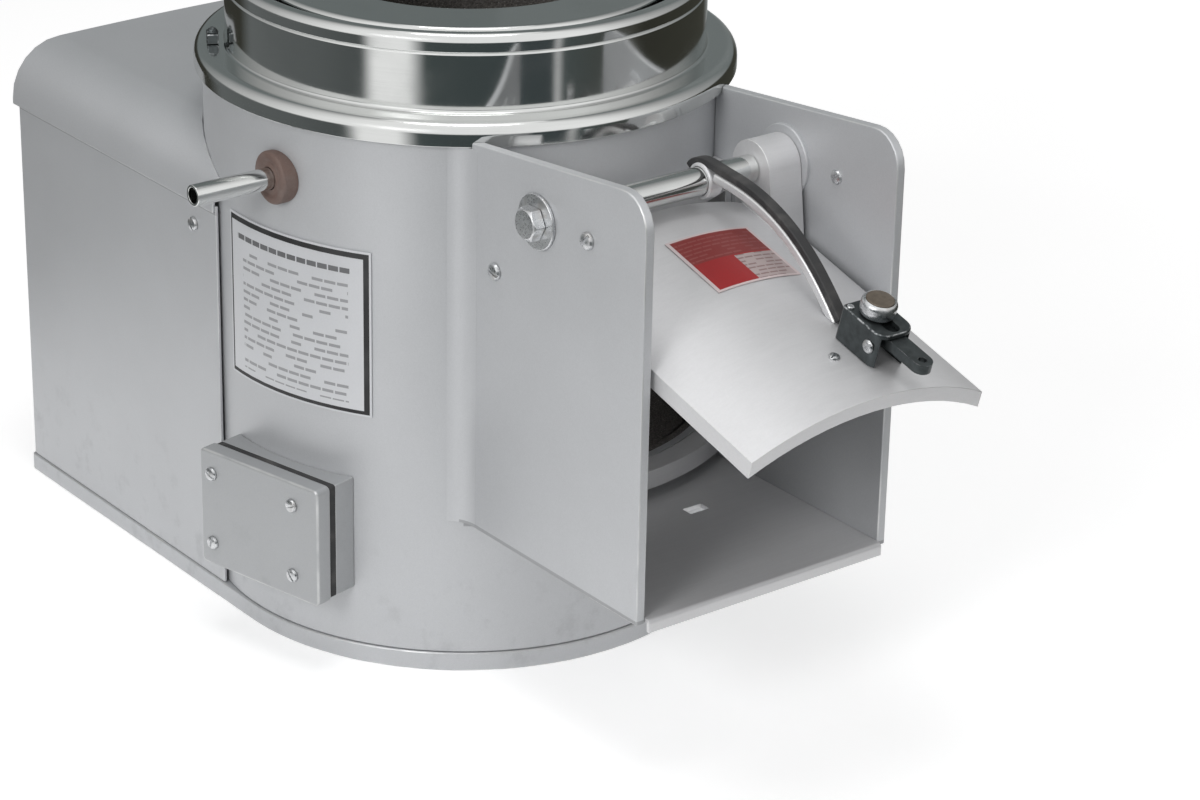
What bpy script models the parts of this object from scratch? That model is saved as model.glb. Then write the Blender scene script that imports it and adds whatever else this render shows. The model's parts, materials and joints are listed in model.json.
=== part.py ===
"""Countertop potato peeler.

A drum with a rough lining stands on a flat base.  An abrasive disc turns at the bottom of the
drum, driven by a belt from an upright motor in the housing behind it.  Potatoes go in through the
collar on top and leave through a hinged door between the two cheek plates of the chute.

Metres, +Z up.  The origin is on the drum's axis, on the surface that the base stands on.
The chute faces -Y, the motor housing +Y, and the water inlet and junction box -X.
"""

import math

import bmesh
import bpy
from mathutils import Matrix, Vector

# Clearances and mesh fineness
SEAT_GAP = 0.0003
CUT_OVERRUN = 0.004
JOIN_DEPTH = 0.001
DRUM_SEGMENTS = 40
WHEEL_SEGMENTS = 24
ROD_SEGMENTS = 12
SCREW_SEGMENTS = 8
SMOOTH_ANGLE = math.radians(32)

# Base and drum
BASE_THICKNESS = 0.012
BASE_LIP = 0.001
DRUM_RADIUS = 0.160
DRUM_WALL = 0.005
DRUM_HEIGHT = 0.3339
DRUM_LEDGE_WIDTH = 0.007
DRUM_LEDGE_HEIGHT = 0.006
LINER_THICKNESS = 0.0044
LINER_TOP_DROP = 0.006
DRUM_BOTTOM_Z = BASE_THICKNESS + SEAT_GAP
DRUM_TOP_Z = DRUM_BOTTOM_Z + DRUM_HEIGHT
DRUM_BORE = DRUM_RADIUS - DRUM_WALL
LINER_OUTER = DRUM_BORE - SEAT_GAP
LINER_BORE = LINER_OUTER - LINER_THICKNESS

# Belt drive
PULLEY_LIFT = 0.012
PULLEY_WIDTH = 0.016
PULLEY_RATIO = 3
BELT_PITCH_RADIUS = 0.0753
BELT_HEIGHT = 0.0066
BELT_INNER_HALF = 0.0040
BELT_OUTER_HALF = 0.0058
GROOVE_FLOOR_GAP = 0.0014
PULLEY_BOTTOM_Z = BASE_THICKNESS + PULLEY_LIFT
PULLEY_TOP_Z = PULLEY_BOTTOM_Z + PULLEY_WIDTH
BELT_Z = PULLEY_BOTTOM_Z + PULLEY_WIDTH / 2
BELT_SLOT_SIDE_GAP = 0.014
BELT_SLOT_HEAD_GAP = 0.012

# Drive shaft, bearings and drum floor
SHAFT_RADIUS = 0.0097
SHAFT_FOOT_GAP = 0.005
STUD_RADIUS = 0.006
BEARING_RADIUS = 0.021
BEARING_WIDTH = 0.012
BEARING_INSET = 0.004
BEARING_SPACING = 0.0214
BEARING_RING = 0.004
BEARING_GROOVE = 0.0008
SEAL_HEIGHT = 0.0054
HOUSING_PULLEY_GAP = 0.006
HOUSING_WALL = 0.0127
HOUSING_SHOULDER = 0.005
HOUSING_FLANGE_RADIUS = 0.060
HOUSING_FLANGE_HEIGHT = 0.008
HOUSING_BELOW_FLOOR = 0.024
FLOOR_THICKNESS = 0.004
FLOOR_BOLT_COUNT = 4
FLOOR_BOLT_RADIUS = 0.003
FLOOR_BOLT_HEAD_RADIUS = 0.0055
FLOOR_BOLT_HEAD_HEIGHT = 0.004
HUB_BORE = BEARING_RADIUS + SEAT_GAP
HUB_RADIUS = HUB_BORE + HOUSING_WALL
HUB_BOTTOM_Z = PULLEY_TOP_Z + HOUSING_PULLEY_GAP
FLOOR_Z = HUB_BOTTOM_Z + HOUSING_BELOW_FLOOR
FLOOR_TOP_Z = FLOOR_Z + FLOOR_THICKNESS
LOWER_BEARING_Z = HUB_BOTTOM_Z + BEARING_INSET
SHOULDER_BOTTOM_Z = LOWER_BEARING_Z + BEARING_WIDTH + SEAT_GAP
SHOULDER_TOP_Z = SHOULDER_BOTTOM_Z + BEARING_SPACING
UPPER_BEARING_Z = SHOULDER_TOP_Z + SEAT_GAP
SEAL_Z = UPPER_BEARING_Z + BEARING_WIDTH + SEAT_GAP
HUB_TOP_Z = SEAL_Z + SEAL_HEIGHT + SEAT_GAP
FLOOR_BOLT_CIRCLE = (HUB_RADIUS + HOUSING_FLANGE_RADIUS) / 2

# Abrasive disc
DISC_LIFT = 0.0040
DISC_EDGE_GAP = 0.004
DISC_THICKNESS = 0.006
GRIT_THICKNESS = 0.0057
GRIT_WAVE_HEIGHT = 0.002
GRIT_WAVES = 3
GRIT_INSET = 0.001
NUT_RADIUS = 0.018
NUT_HEIGHT = 0.020
NUT_ROUNDING = 0.006
NUT_ROOF = 0.006
GRIT_NUT_GAP = 0.004
SHAFT_SHOULDER_Z = HUB_TOP_Z + DISC_LIFT
DISC_Z = SHAFT_SHOULDER_Z + SEAT_GAP
DISC_TOP_Z = DISC_Z + DISC_THICKNESS
GRIT_Z = DISC_TOP_Z + SEAT_GAP
GRIT_TOP_Z = GRIT_Z + GRIT_THICKNESS + GRIT_WAVE_HEIGHT
DISC_RADIUS = LINER_BORE - DISC_EDGE_GAP

# Chute cheeks and floor
CHUTE_HALF = 0.087
CHEEK_THICKNESS = 0.006
CHEEK_REACH = 0.137
CHEEK_ROUNDING = 0.0012
CHEEK_FRONT_RISE = 0.0106
CHEEK_BACK_DROP = 0.0119
CHEEK_CORNER = 0.023
CHEEK_FOOT_DROP = 0.001
SILL_STEP = 0.0017
CHUTE_FLOOR_DROP = 0.019
CHUTE_FLOOR_THICKNESS = 0.0025
CHUTE_LIP_REACH = 0.004
CHUTE_LIP_HEIGHT = 0.008
SILL_Z = GRIT_TOP_Z + SILL_STEP
CHUTE_TOP_Z = SILL_Z - CHUTE_FLOOR_DROP
CHUTE_BOTTOM_Z = CHUTE_TOP_Z - CHUTE_FLOOR_THICKNESS
CHEEK_FRONT_Y = -(DRUM_RADIUS + CHEEK_REACH)

# Door hinge
HINGE_FORWARD = 0.040
HINGE_DROP = 0.0337
HINGE_ROD_RADIUS = 0.005
HINGE_TUBE_RADIUS = 0.0085
KNUCKLE_RADIUS = 0.017
KNUCKLE_LENGTH = 0.024
KNUCKLE_TAIL = 0.035
CHEEK_BOSS_RADIUS = 0.022
CHEEK_BOSS_HEIGHT = 0.002
PIVOT_WASHER_RADIUS = 0.0165
PIVOT_WASHER_THICKNESS = 0.002
PIVOT_HEAD_RADIUS = 0.0105
PIVOT_HEAD_HEIGHT = 0.0075
PIVOT_HEAD_ROUNDING = 0.002
HINGE_Y = -(DRUM_RADIUS + HINGE_FORWARD)
HINGE_Z = DRUM_TOP_Z - HINGE_DROP
DOOR_OPEN_ANGLE = math.radians(75)
KNUCKLE_END = CHUTE_HALF - CHEEK_BOSS_HEIGHT - SEAT_GAP

# Discharge opening, its jamb and the door
JAMB_DEPTH = 0.0155
JAMB_SIDE = 0.009
JAMB_SILL = 0.012
JAMB_HEAD = 0.014
OPENING_HEAD_DROP = 0.0305
GASKET_DEPTH = 0.0036
GASKET_WIDTH = 0.009
GASKET_HEAD_DROP = 0.0185
DOOR_WALL = 0.006
DOOR_SIDE_GAP = 0.0035
DOOR_SILL_LAP = 0.005
DOOR_RIM_DEPTH = 0.0035
DOOR_RIM_WIDTH = 0.002
DOOR_ARC_STEPS = 16
OPENING_HALF = CHUTE_HALF - JAMB_SIDE
OPENING_TOP_Z = HINGE_Z - OPENING_HEAD_DROP
JAMB_INNER = DRUM_RADIUS + SEAT_GAP
JAMB_OUTER = JAMB_INNER + JAMB_DEPTH
GASKET_INNER = JAMB_OUTER + SEAT_GAP
GASKET_OUTER = GASKET_INNER + GASKET_DEPTH
DOOR_INNER = GASKET_OUTER + SEAT_GAP
DOOR_OUTER = DOOR_INNER + DOOR_WALL
DOOR_HALF = CHUTE_HALF - DOOR_SIDE_GAP
DOOR_HEIGHT = HINGE_Z - SILL_Z + DOOR_SILL_LAP
DOOR_SET_BACK = DRUM_RADIUS + HINGE_FORWARD - DOOR_OUTER

# Door handle and latch, off centre towards +X
LATCH_X = 0.027
HANDLE_WIDTH = 0.010
HANDLE_THICKNESS = 0.006
HANDLE_HUB_RADIUS = 0.0125
HANDLE_CREST = 0.0125
HANDLE_FOOT_RISE = 0.0017
HANDLE_FOOT_LENGTH = 0.012
HANDLE_BRACKET_GAP = 0.004
GRIP_WIDTH = 0.011
GRIP_THICKNESS = 0.0045
BRACKET_INSET = 0.021
BRACKET_LENGTH = 0.035
BRACKET_WIDTH = 0.026
BRACKET_ROOF = 0.003
BOLT_WIDTH = 0.012
BOLT_THICKNESS = 0.006
BOLT_CENTRE_RISE = 0.001
BOLT_PROUD = 0.006
BOLT_TAIL_INSET = 0.007
BOLT_TRAVEL = 0.0135
BOLT_HOLE_GAP = 0.001
KNOB_RADIUS = 0.0105
KNOB_HEIGHT = 0.011
KNOB_STEM_RADIUS = 0.0035
KNOB_ROUNDING = 0.002
KNOB_INSET = 0.015
KNOB_SLOT_GAP = 0.0008
BRACKET_START = DOOR_HEIGHT - BRACKET_INSET - BRACKET_LENGTH
HANDLE_LENGTH = BRACKET_START - HANDLE_BRACKET_GAP
KNOB_PLACE = BRACKET_START + KNOB_INSET
BOLT_TAIL = BRACKET_START + BOLT_TAIL_INSET
BOLT_TIP = DOOR_HEIGHT + BOLT_PROUD

# Top collar and splash ring
COLLAR_OVERHANG = 0.005
COLLAR_SHEET = 0.002
COLLAR_SKIRT = 0.0095
COLLAR_SHOULDER_ROUNDING = 0.008
COLLAR_SHOULDER_HEIGHT = 0.0045
COLLAR_BAND_INSET = 0.014
COLLAR_BAND_HEIGHT = 0.036
COLLAR_BEAD_RADIUS = 0.0055
COLLAR_LEDGE_WIDTH = 0.018
COLLAR_LEDGE_THICKNESS = 0.0025
RING_RIM_GAP = 0.0015
RING_FOOT_WIDTH = 0.006
RING_SHEET = 0.002
RING_TOP_DROP = 0.002
RING_MOUTH_INSET = 0.0445
RING_MOUTH_LIP = 0.010
RING_ROUNDING = 0.004
COLLAR_RADIUS = DRUM_RADIUS + COLLAR_OVERHANG
COLLAR_BAND_RADIUS = DRUM_RADIUS - COLLAR_BAND_INSET
COLLAR_LEDGE_RADIUS = COLLAR_BAND_RADIUS - COLLAR_LEDGE_WIDTH
COLLAR_BASE_Z = DRUM_TOP_Z + SEAT_GAP
COLLAR_SHOULDER_Z = COLLAR_BASE_Z + COLLAR_SHOULDER_HEIGHT
COLLAR_BEAD_Z = COLLAR_SHOULDER_Z + COLLAR_BAND_HEIGHT + COLLAR_BEAD_RADIUS
COLLAR_TOP_Z = COLLAR_BEAD_Z + COLLAR_BEAD_RADIUS
COLLAR_SKIRT_Z = COLLAR_BASE_Z - COLLAR_SKIRT
COLLAR_BEAD_CENTRE = COLLAR_BAND_RADIUS - COLLAR_BEAD_RADIUS
RIM_BORE = COLLAR_BEAD_CENTRE - COLLAR_BEAD_RADIUS
RING_RADIUS = RIM_BORE - RING_RIM_GAP
RING_MOUTH_RADIUS = RING_RADIUS - RING_MOUTH_INSET

# Collar clips
CLIP_ANGLE = math.radians(151)
CLIP_LENGTH = 0.012
CLIP_WIDTH = 0.007
CLIP_HEIGHT = 0.006
CLIP_BAND_GAP = 0.0075
CLIP_HEAD_RADIUS = 0.003
CLIP_HEAD_HEIGHT = 0.003

# Motor and its mount
MOTOR_RADIUS = 0.051
MOTOR_DRUM_GAP = 0.008
MOTOR_HEIGHT = 0.178
MOTOR_BELL_HEIGHT = 0.022
MOTOR_BELL_STEP = 0.003
MOTOR_DOME = 0.014
MOTOR_SHAFT_RADIUS = 0.007
MOTOR_SHAFT_FOOT_GAP = 0.006
MOTOR_SHAFT_DEPTH = 0.022
MOUNT_HEIGHT = 0.045
MOUNT_SHEET = 0.004
MOUNT_HALF = 0.066
MOUNT_FOOT = 0.018
MOUNT_LENGTH = 0.088
MOUNT_HOLE_RADIUS = 0.012
MOTOR_BOLT_CIRCLE = 0.036
MOTOR_BOLT_COUNT = 4
MOTOR_BOLT_RADIUS = 0.003
MOTOR_BOLT_HEAD_RADIUS = 0.0055
MOTOR_BOLT_HEAD_HEIGHT = 0.004
MOUNT_SCREW_RADIUS = 0.005
MOUNT_SCREW_HEIGHT = 0.003
MOUNT_SCREW_INSET = 0.014
MOTOR_Y = DRUM_RADIUS + MOTOR_DRUM_GAP + MOTOR_RADIUS
MOUNT_TOP_Z = DRUM_BOTTOM_Z + MOUNT_HEIGHT
MOTOR_Z = MOUNT_TOP_Z + SEAT_GAP

# Motor housing and its cover
HOUSING_MOTOR_GAP = 0.003
HOUSING_SHEET = 0.002
HOUSING_FRONT_Y = 0.0335
HOUSING_HEIGHT = 0.2507
COVER_SHEET = 0.002
COVER_LAP = 0.0035
COVER_CORNER = 0.036
COVER_RISE = 0.002
COVER_HEIGHT = 0.042
COVER_DRUM_GAP = 0.0008
HOUSING_BACK_Y = MOTOR_Y + MOTOR_RADIUS + HOUSING_MOTOR_GAP + HOUSING_SHEET
HOUSING_TOP_Z = DRUM_BOTTOM_Z + HOUSING_HEIGHT
COVER_SKIRT_Z = HOUSING_TOP_Z - COVER_LAP
COVER_HALF = DRUM_RADIUS + SEAT_GAP + COVER_SHEET
COVER_BACK_Y = HOUSING_BACK_Y + SEAT_GAP + COVER_SHEET
SIDE_SCREW_Y = 0.0587
SIDE_SCREW_DROP = 0.0185
SIDE_SCREW_RADIUS = 0.0045
SIDE_SCREW_HEIGHT = 0.0025
BRACKET_BLOCK_LENGTH = 0.018
BRACKET_BLOCK_HEIGHT = 0.018

# Junction box, square to the drum wall
JUNCTION_ANGLE = math.radians(193)
JUNCTION_CENTRE_Z = 0.086
JUNCTION_REACH = 0.026
JUNCTION_HALF_WIDTH = 0.049
JUNCTION_HALF_HEIGHT = 0.038
JUNCTION_COVER = 0.0045
JUNCTION_GASKET = 0.0015
JUNCTION_BODY_INSET = 0.0015
JUNCTION_WALL = 0.003
JUNCTION_BACK = 0.003
JUNCTION_ROUNDING = 0.003
JUNCTION_SCREW_RADIUS = 0.0042
JUNCTION_SCREW_HEIGHT = 0.0022
JUNCTION_SCREW_LEFT = 0.039
JUNCTION_SCREW_RIGHT = 0.028
JUNCTION_SCREW_RISE = 0.023
JUNCTION_FACE = DRUM_RADIUS + JUNCTION_REACH

# Water inlet, drain and plates
INLET_Y = -0.0318
INLET_DROP = 0.0444
INLET_RADIUS = 0.0065
INLET_BORE = 0.0048
INLET_REACH = 0.055
INLET_INNER_REACH = 0.005
GROMMET_RADIUS = 0.016
GROMMET_PROUD = 0.0035
DRAIN_Y = -0.040
DRAIN_RADIUS = 0.017
DRAIN_BORE = 0.0145
DRAIN_REACH = 0.045
DRAIN_LIFT = 0.0015
PLATE_THICKNESS = 0.0008
PLATE_START_ANGLE = math.radians(174)
PLATE_END_ANGLE = math.radians(214.7)
PLATE_TOP_DROP = 0.079
PLATE_JUNCTION_GAP = 0.0392
PLATE_STEPS = 10
LABEL_THICKNESS = 0.0004
LABEL_LEFT = -0.022
LABEL_RIGHT = 0.019
LABEL_START = 0.032
LABEL_HEIGHT = 0.050
CHUTE_SCREW_RADIUS = 0.0052
CHUTE_SCREW_HEIGHT = 0.003
CHUTE_SCREW_FRONT = 0.046
CHUTE_SCREW_FRONT_RISE = 0.003
CHUTE_SCREW_BACK = 0.040
CHUTE_SCREW_BACK_DROP = 0.043

MATERIALS = {}


def clear_scene():
    for item in list(bpy.data.objects):
        bpy.data.objects.remove(item, do_unlink=True)


def define_materials():
    """Name each finish once: colour, roughness and metallic value."""
    finishes = {
        "satin_aluminium": ((0.62, 0.63, 0.65), 0.45, 0.85),
        "silver_paint": ((0.60, 0.61, 0.63), 0.50, 0.30),
        "polished_steel": ((0.70, 0.71, 0.71), 0.12, 1.0),
        "zinc_steel": ((0.55, 0.56, 0.57), 0.30, 1.0),
        "dark_steel": ((0.05, 0.05, 0.055), 0.40, 0.7),
        "cast_iron": ((0.20, 0.20, 0.21), 0.65, 0.6),
        "motor_paint": ((0.12, 0.13, 0.15), 0.45, 0.2),
        "grit": ((0.10, 0.095, 0.09), 0.95, 0.0),
        "black_rubber": ((0.02, 0.02, 0.02), 0.75, 0.0),
        "brown_rubber": ((0.16, 0.07, 0.05), 0.70, 0.0),
        "printed_plate": ((0.80, 0.81, 0.82), 0.35, 0.1),
        "red_panel": ((0.50, 0.03, 0.03), 0.45, 0.0),
    }
    for name, (colour, roughness, metallic) in finishes.items():
        finish = bpy.data.materials.new(name)
        finish.use_nodes = True
        shader = finish.node_tree.nodes["Principled BSDF"]
        shader.inputs["Base Color"].default_value = (*colour, 1.0)
        shader.inputs["Roughness"].default_value = roughness
        shader.inputs["Metallic"].default_value = metallic
        MATERIALS[name] = finish


def place_mesh(name, shape, finish=None, parent=None):
    """Turn a bmesh into a named, smooth-shaded object."""
    bmesh.ops.recalc_face_normals(shape, faces=shape.faces[:])
    mesh = bpy.data.meshes.new(name)
    shape.to_mesh(mesh)
    shape.free()
    mesh.shade_smooth()
    mesh.set_sharp_from_angle(angle=SMOOTH_ANGLE)
    item = bpy.data.objects.new(name, mesh)
    bpy.context.collection.objects.link(item)
    item.parent = parent
    if finish:
        mesh.materials.append(MATERIALS[finish])
    else:
        item.hide_render = True
        item.display_type = "WIRE"
    return item


def combine(target, tool, operation="DIFFERENCE"):
    """Cut the hidden tool from the target, or add it."""
    step = target.modifiers.new(tool.name, "BOOLEAN")
    step.operation = operation
    step.solver = "EXACT"
    step.object = tool
    return target


def soften(target, width, segments=1):
    """Round the sharp edges of a plain solid."""
    edge = target.modifiers.new("softened_edges", "BEVEL")
    edge.width = width
    edge.segments = segments
    edge.limit_method = "ANGLE"
    return target


def add_turned(shape, profile, segments, place=None):
    """Turn a closed (radius, height) profile about Z and add it to a bmesh."""
    place = place or Matrix.Identity(4)
    rings = []
    for radius, height in profile:
        count = segments if radius > 0 else 1
        ring = []
        for step in range(count):
            turn = 2 * math.pi * step / segments
            point = Vector((radius * math.cos(turn), radius * math.sin(turn), height))
            ring.append(shape.verts.new(place @ point))
        rings.append(ring)
    for ring, following in zip(rings, rings[1:] + rings[:1]):
        for step in range(segments):
            after = (step + 1) % segments
            corners = [ring[step % len(ring)], ring[after % len(ring)]]
            corners += [following[after % len(following)], following[step % len(following)]]
            distinct = list(dict.fromkeys(corners))
            if len(distinct) > 2:
                shape.faces.new(distinct)


def turned(name, profile, finish=None, segments=DRUM_SEGMENTS, place=None, parent=None):
    shape = bmesh.new()
    add_turned(shape, profile, segments, place)
    return place_mesh(name, shape, finish, parent)


def along(axis, origin):
    """Matrix that lays the Z axis along another axis, at an origin."""
    turn = Vector((0, 0, 1)).rotation_difference(Vector(axis))
    return Matrix.Translation(origin) @ turn.to_matrix().to_4x4()


def add_prism(shape, outline, to_low, to_high):
    """Add a prism whose two ends are the outline mapped by two functions."""
    low = [shape.verts.new(to_low(point)) for point in outline]
    high = [shape.verts.new(to_high(point)) for point in outline]
    count = len(outline)
    shape.faces.new(low[::-1])
    shape.faces.new(high)
    for step in range(count):
        after = (step + 1) % count
        shape.faces.new((low[step], low[after], high[after], high[step]))


def prism_x(name, outline, low, high, finish=None, parent=None):
    """Extrude a (y, z) outline along X."""
    shape = bmesh.new()
    add_prism(shape, outline, lambda p: (low, p[0], p[1]), lambda p: (high, p[0], p[1]))
    return place_mesh(name, shape, finish, parent)


def prism_y(name, outline, low, high, finish=None, parent=None):
    """Extrude an (x, z) outline along Y."""
    shape = bmesh.new()
    add_prism(shape, outline, lambda p: (p[0], low, p[1]), lambda p: (p[0], high, p[1]))
    return place_mesh(name, shape, finish, parent)


def prism_z(name, outline, low, high, finish=None, parent=None):
    """Extrude an (x, y) outline along Z."""
    shape = bmesh.new()
    add_prism(shape, outline, lambda p: (p[0], p[1], low), lambda p: (p[0], p[1], high))
    return place_mesh(name, shape, finish, parent)


def block(name, low, high, finish=None, parent=None):
    """A box between two corners."""
    outline = [(low[0], low[1]), (high[0], low[1]), (high[0], high[1]), (low[0], high[1])]
    return prism_z(name, outline, low[2], high[2], finish, parent)


def tube_profile(outer, inner, low, high):
    return [(outer, low), (outer, high), (inner, high), (inner, low)]


def rod_profile(radius, low, high):
    return [(0, low), (radius, low), (radius, high), (0, high)]


def head_profile(radius, height, rounding):
    """A low screw head with one chamfer, standing on its seat."""
    return [(0, 0), (radius, 0), (radius, height - rounding), (radius - rounding, height), (0, height)]


def joined_head_profile(radius, height, rounding):
    """A screw head that reaches a little way into the piece that it is joined to."""
    head = head_profile(radius, height, rounding)
    return [(0, -JOIN_DEPTH), (radius, -JOIN_DEPTH)] + head[1:]


def arc(centre, radius, start, end, steps):
    """Points along an arc, both ends included."""
    points = []
    for step in range(steps + 1):
        turn = start + (end - start) * step / steps
        points.append((centre[0] + radius * math.cos(turn), centre[1] + radius * math.sin(turn)))
    return points


def wall_outline(inner, outer, half, centre_y, steps):
    """Outline of a curved wall in front of the drum, as wide as two halves."""
    inner_turn = math.asin(half / inner)
    outer_turn = math.asin(half / outer)
    front = -math.pi / 2
    points = arc((0, centre_y), outer, front - outer_turn, front + outer_turn, steps)
    points += arc((0, centre_y), inner, front + inner_turn, front - inner_turn, steps)
    return points


def drum_cutter(name, radius, low, high, parent=None, centre_y=0):
    """A hidden cylinder on the drum's axis that shapes what seats against the drum."""
    profile = rod_profile(radius, low - CUT_OVERRUN, high + CUT_OVERRUN)
    place = Matrix.Translation((0, centre_y, 0))
    return turned(name, profile, None, 2 * DRUM_SEGMENTS, place, parent)


def make_base():
    radius = DRUM_RADIUS + BASE_LIP
    outline = arc((0, 0), radius, math.pi, 2 * math.pi, DRUM_SEGMENTS // 2)
    outline += [(radius, HOUSING_BACK_Y + BASE_LIP), (-radius, HOUSING_BACK_Y + BASE_LIP)]
    prism_z("base_plate", outline, 0, BASE_THICKNESS, "silver_paint")


def opening_cutter(name):
    """The discharge opening through the drum wall and the lining."""
    low = (-OPENING_HALF, -JAMB_OUTER, SILL_Z)
    return block(name, low, (OPENING_HALF, 0, OPENING_TOP_Z))


def pipe_cutter(name, radius, side, centre_y, centre_z):
    """A hole through the drum wall on one side, along X."""
    reach = DRUM_RADIUS + CUT_OVERRUN
    place = along((side, 0, 0), (0, centre_y, centre_z))
    profile = rod_profile(radius, DRUM_RADIUS / 2, reach)
    return turned(name, profile, segments=ROD_SEGMENTS, place=place)


INLET_Z = DRUM_TOP_Z - INLET_DROP
INLET_TIP = DRUM_RADIUS + INLET_REACH
GROMMET_FACE = DRUM_RADIUS + GROMMET_PROUD
DRAIN_Z = FLOOR_TOP_Z + DRAIN_LIFT + DRAIN_RADIUS


def make_drum():
    ledge_bore = DRUM_BORE - DRUM_LEDGE_WIDTH
    ledge_top = FLOOR_Z - SEAT_GAP
    ledge_bottom = ledge_top - DRUM_LEDGE_HEIGHT
    profile = [
        (DRUM_RADIUS, DRUM_BOTTOM_Z), (DRUM_RADIUS, DRUM_TOP_Z), (DRUM_BORE, DRUM_TOP_Z),
        (DRUM_BORE, ledge_top), (ledge_bore, ledge_top), (ledge_bore, ledge_bottom),
        (DRUM_BORE, ledge_bottom - DRUM_LEDGE_WIDTH), (DRUM_BORE, DRUM_BOTTOM_Z),
    ]
    drum = turned("drum_shell", profile, "silver_paint")
    combine(drum, opening_cutter("opening_in_drum"))
    slot_half = belt_half_width_at_wall() + BELT_SLOT_SIDE_GAP
    slot_top = PULLEY_TOP_Z + BELT_SLOT_HEAD_GAP
    slot = block("belt_slot", (-slot_half, 0, 0), (slot_half, DRUM_RADIUS + CUT_OVERRUN, slot_top))
    combine(drum, slot)
    combine(drum, pipe_cutter("inlet_hole", INLET_RADIUS + SEAT_GAP, -1, INLET_Y, INLET_Z))
    combine(drum, pipe_cutter("drain_hole", DRAIN_RADIUS + SEAT_GAP, 1, DRAIN_Y, DRAIN_Z))

    low = FLOOR_TOP_Z + SEAT_GAP
    lining = tube_profile(LINER_OUTER, LINER_BORE, low, DRUM_TOP_Z - LINER_TOP_DROP)
    liner = turned("drum_liner", lining, "grit")
    combine(liner, opening_cutter("opening_in_liner"))
    combine(liner, pipe_cutter("inlet_liner_hole", INLET_RADIUS + SEAT_GAP, -1, INLET_Y, INLET_Z))
    combine(liner, pipe_cutter("drain_liner_hole", DRAIN_RADIUS + SEAT_GAP, 1, DRAIN_Y, DRAIN_Z))


def ring_places(count, radius, centre_y=0):
    """Centres of a bolt circle, starting halfway between +X and +Y."""
    places = []
    for step in range(count):
        turn = 2 * math.pi * (step + 1 / 2) / count
        places.append((radius * math.cos(turn), centre_y + radius * math.sin(turn)))
    return places


def hole_group(name, places, radius, low, high):
    """Hidden cutters for a group of upright holes."""
    shape = bmesh.new()
    for x, y in places:
        add_turned(shape, rod_profile(radius, low, high), SCREW_SEGMENTS, Matrix.Translation((x, y, 0)))
    return place_mesh(name, shape)


def join_bolts(target, name, profile, places, base_z=0):
    """Add a group of upright bolts to the piece that they are screwed into."""
    shape = bmesh.new()
    for x, y in places:
        add_turned(shape, profile, SCREW_SEGMENTS, Matrix.Translation((x, y, base_z)))
    combine(target, place_mesh(name, shape), "UNION")


def make_drum_floor():
    """The pan under the disc, and the bearing hub that is bolted to its underside."""
    pan = turned("drum_floor", tube_profile(LINER_OUTER, HUB_RADIUS + SEAT_GAP, FLOOR_Z, FLOOR_TOP_Z),
                 "satin_aluminium")
    flange_top = FLOOR_Z - SEAT_GAP
    flange_bottom = flange_top - HOUSING_FLANGE_HEIGHT
    shoulder = HUB_BORE - HOUSING_SHOULDER
    profile = [
        (HUB_RADIUS, HUB_BOTTOM_Z), (HUB_RADIUS, flange_bottom),
        (HOUSING_FLANGE_RADIUS, flange_bottom), (HOUSING_FLANGE_RADIUS, flange_top),
        (HUB_RADIUS, flange_top), (HUB_RADIUS, HUB_TOP_Z), (HUB_BORE, HUB_TOP_Z),
        (HUB_BORE, SHOULDER_TOP_Z), (shoulder, SHOULDER_TOP_Z), (shoulder, SHOULDER_BOTTOM_Z),
        (HUB_BORE, SHOULDER_BOTTOM_Z), (HUB_BORE, HUB_BOTTOM_Z),
    ]
    hub = turned("bearing_housing", profile, "cast_iron", WHEEL_SEGMENTS)
    places = ring_places(FLOOR_BOLT_COUNT, FLOOR_BOLT_CIRCLE)
    hole = FLOOR_BOLT_RADIUS + SEAT_GAP
    low = FLOOR_Z - CUT_OVERRUN
    combine(pan, hole_group("floor_bolt_holes", places, hole, low, FLOOR_TOP_Z + CUT_OVERRUN))
    thread_low = flange_top - JOIN_DEPTH
    head_low = FLOOR_TOP_Z + SEAT_GAP
    head_top = head_low + FLOOR_BOLT_HEAD_HEIGHT
    bolt = [(0, thread_low), (FLOOR_BOLT_RADIUS, thread_low), (FLOOR_BOLT_RADIUS, head_low)]
    bolt += [(FLOOR_BOLT_HEAD_RADIUS, head_low), (FLOOR_BOLT_HEAD_RADIUS, head_top), (0, head_top)]
    join_bolts(hub, "floor_bolts", bolt, places)


def bearing_profile(low):
    """A shielded ball bearing: inner ring, shield set back a little, outer ring."""
    high = low + BEARING_WIDTH
    bore = SHAFT_RADIUS + SEAT_GAP
    inner = bore + BEARING_RING
    outer = BEARING_RADIUS - BEARING_RING
    return [
        (BEARING_RADIUS, low), (BEARING_RADIUS, high), (outer, high), (outer, high - BEARING_GROOVE),
        (inner, high - BEARING_GROOVE), (inner, high), (bore, high), (bore, low), (inner, low),
        (inner, low + BEARING_GROOVE), (outer, low + BEARING_GROOVE), (outer, low),
    ]


def make_bearings():
    turned("lower_bearing", bearing_profile(LOWER_BEARING_Z), "zinc_steel", WHEEL_SEGMENTS)
    turned("upper_bearing", bearing_profile(UPPER_BEARING_Z), "zinc_steel", WHEEL_SEGMENTS)
    seal = tube_profile(BEARING_RADIUS, SHAFT_RADIUS + SEAT_GAP, SEAL_Z, SEAL_Z + SEAL_HEIGHT)
    turned("shaft_seal", seal, "black_rubber", WHEEL_SEGMENTS)


def grit_height(radius, turn):
    """The disc's top rises and falls in a few smooth waves, which toss the potatoes."""
    span = (radius - NUT_RADIUS) / (DISC_RADIUS - NUT_RADIUS)
    wave = math.sin(math.pi * span) * (1 + math.cos(GRIT_WAVES * turn)) / 2
    return GRIT_Z + GRIT_THICKNESS + GRIT_WAVE_HEIGHT * wave


GRIT_RING_SHARES = (0, 0.33, 0.66, 1)


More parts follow.
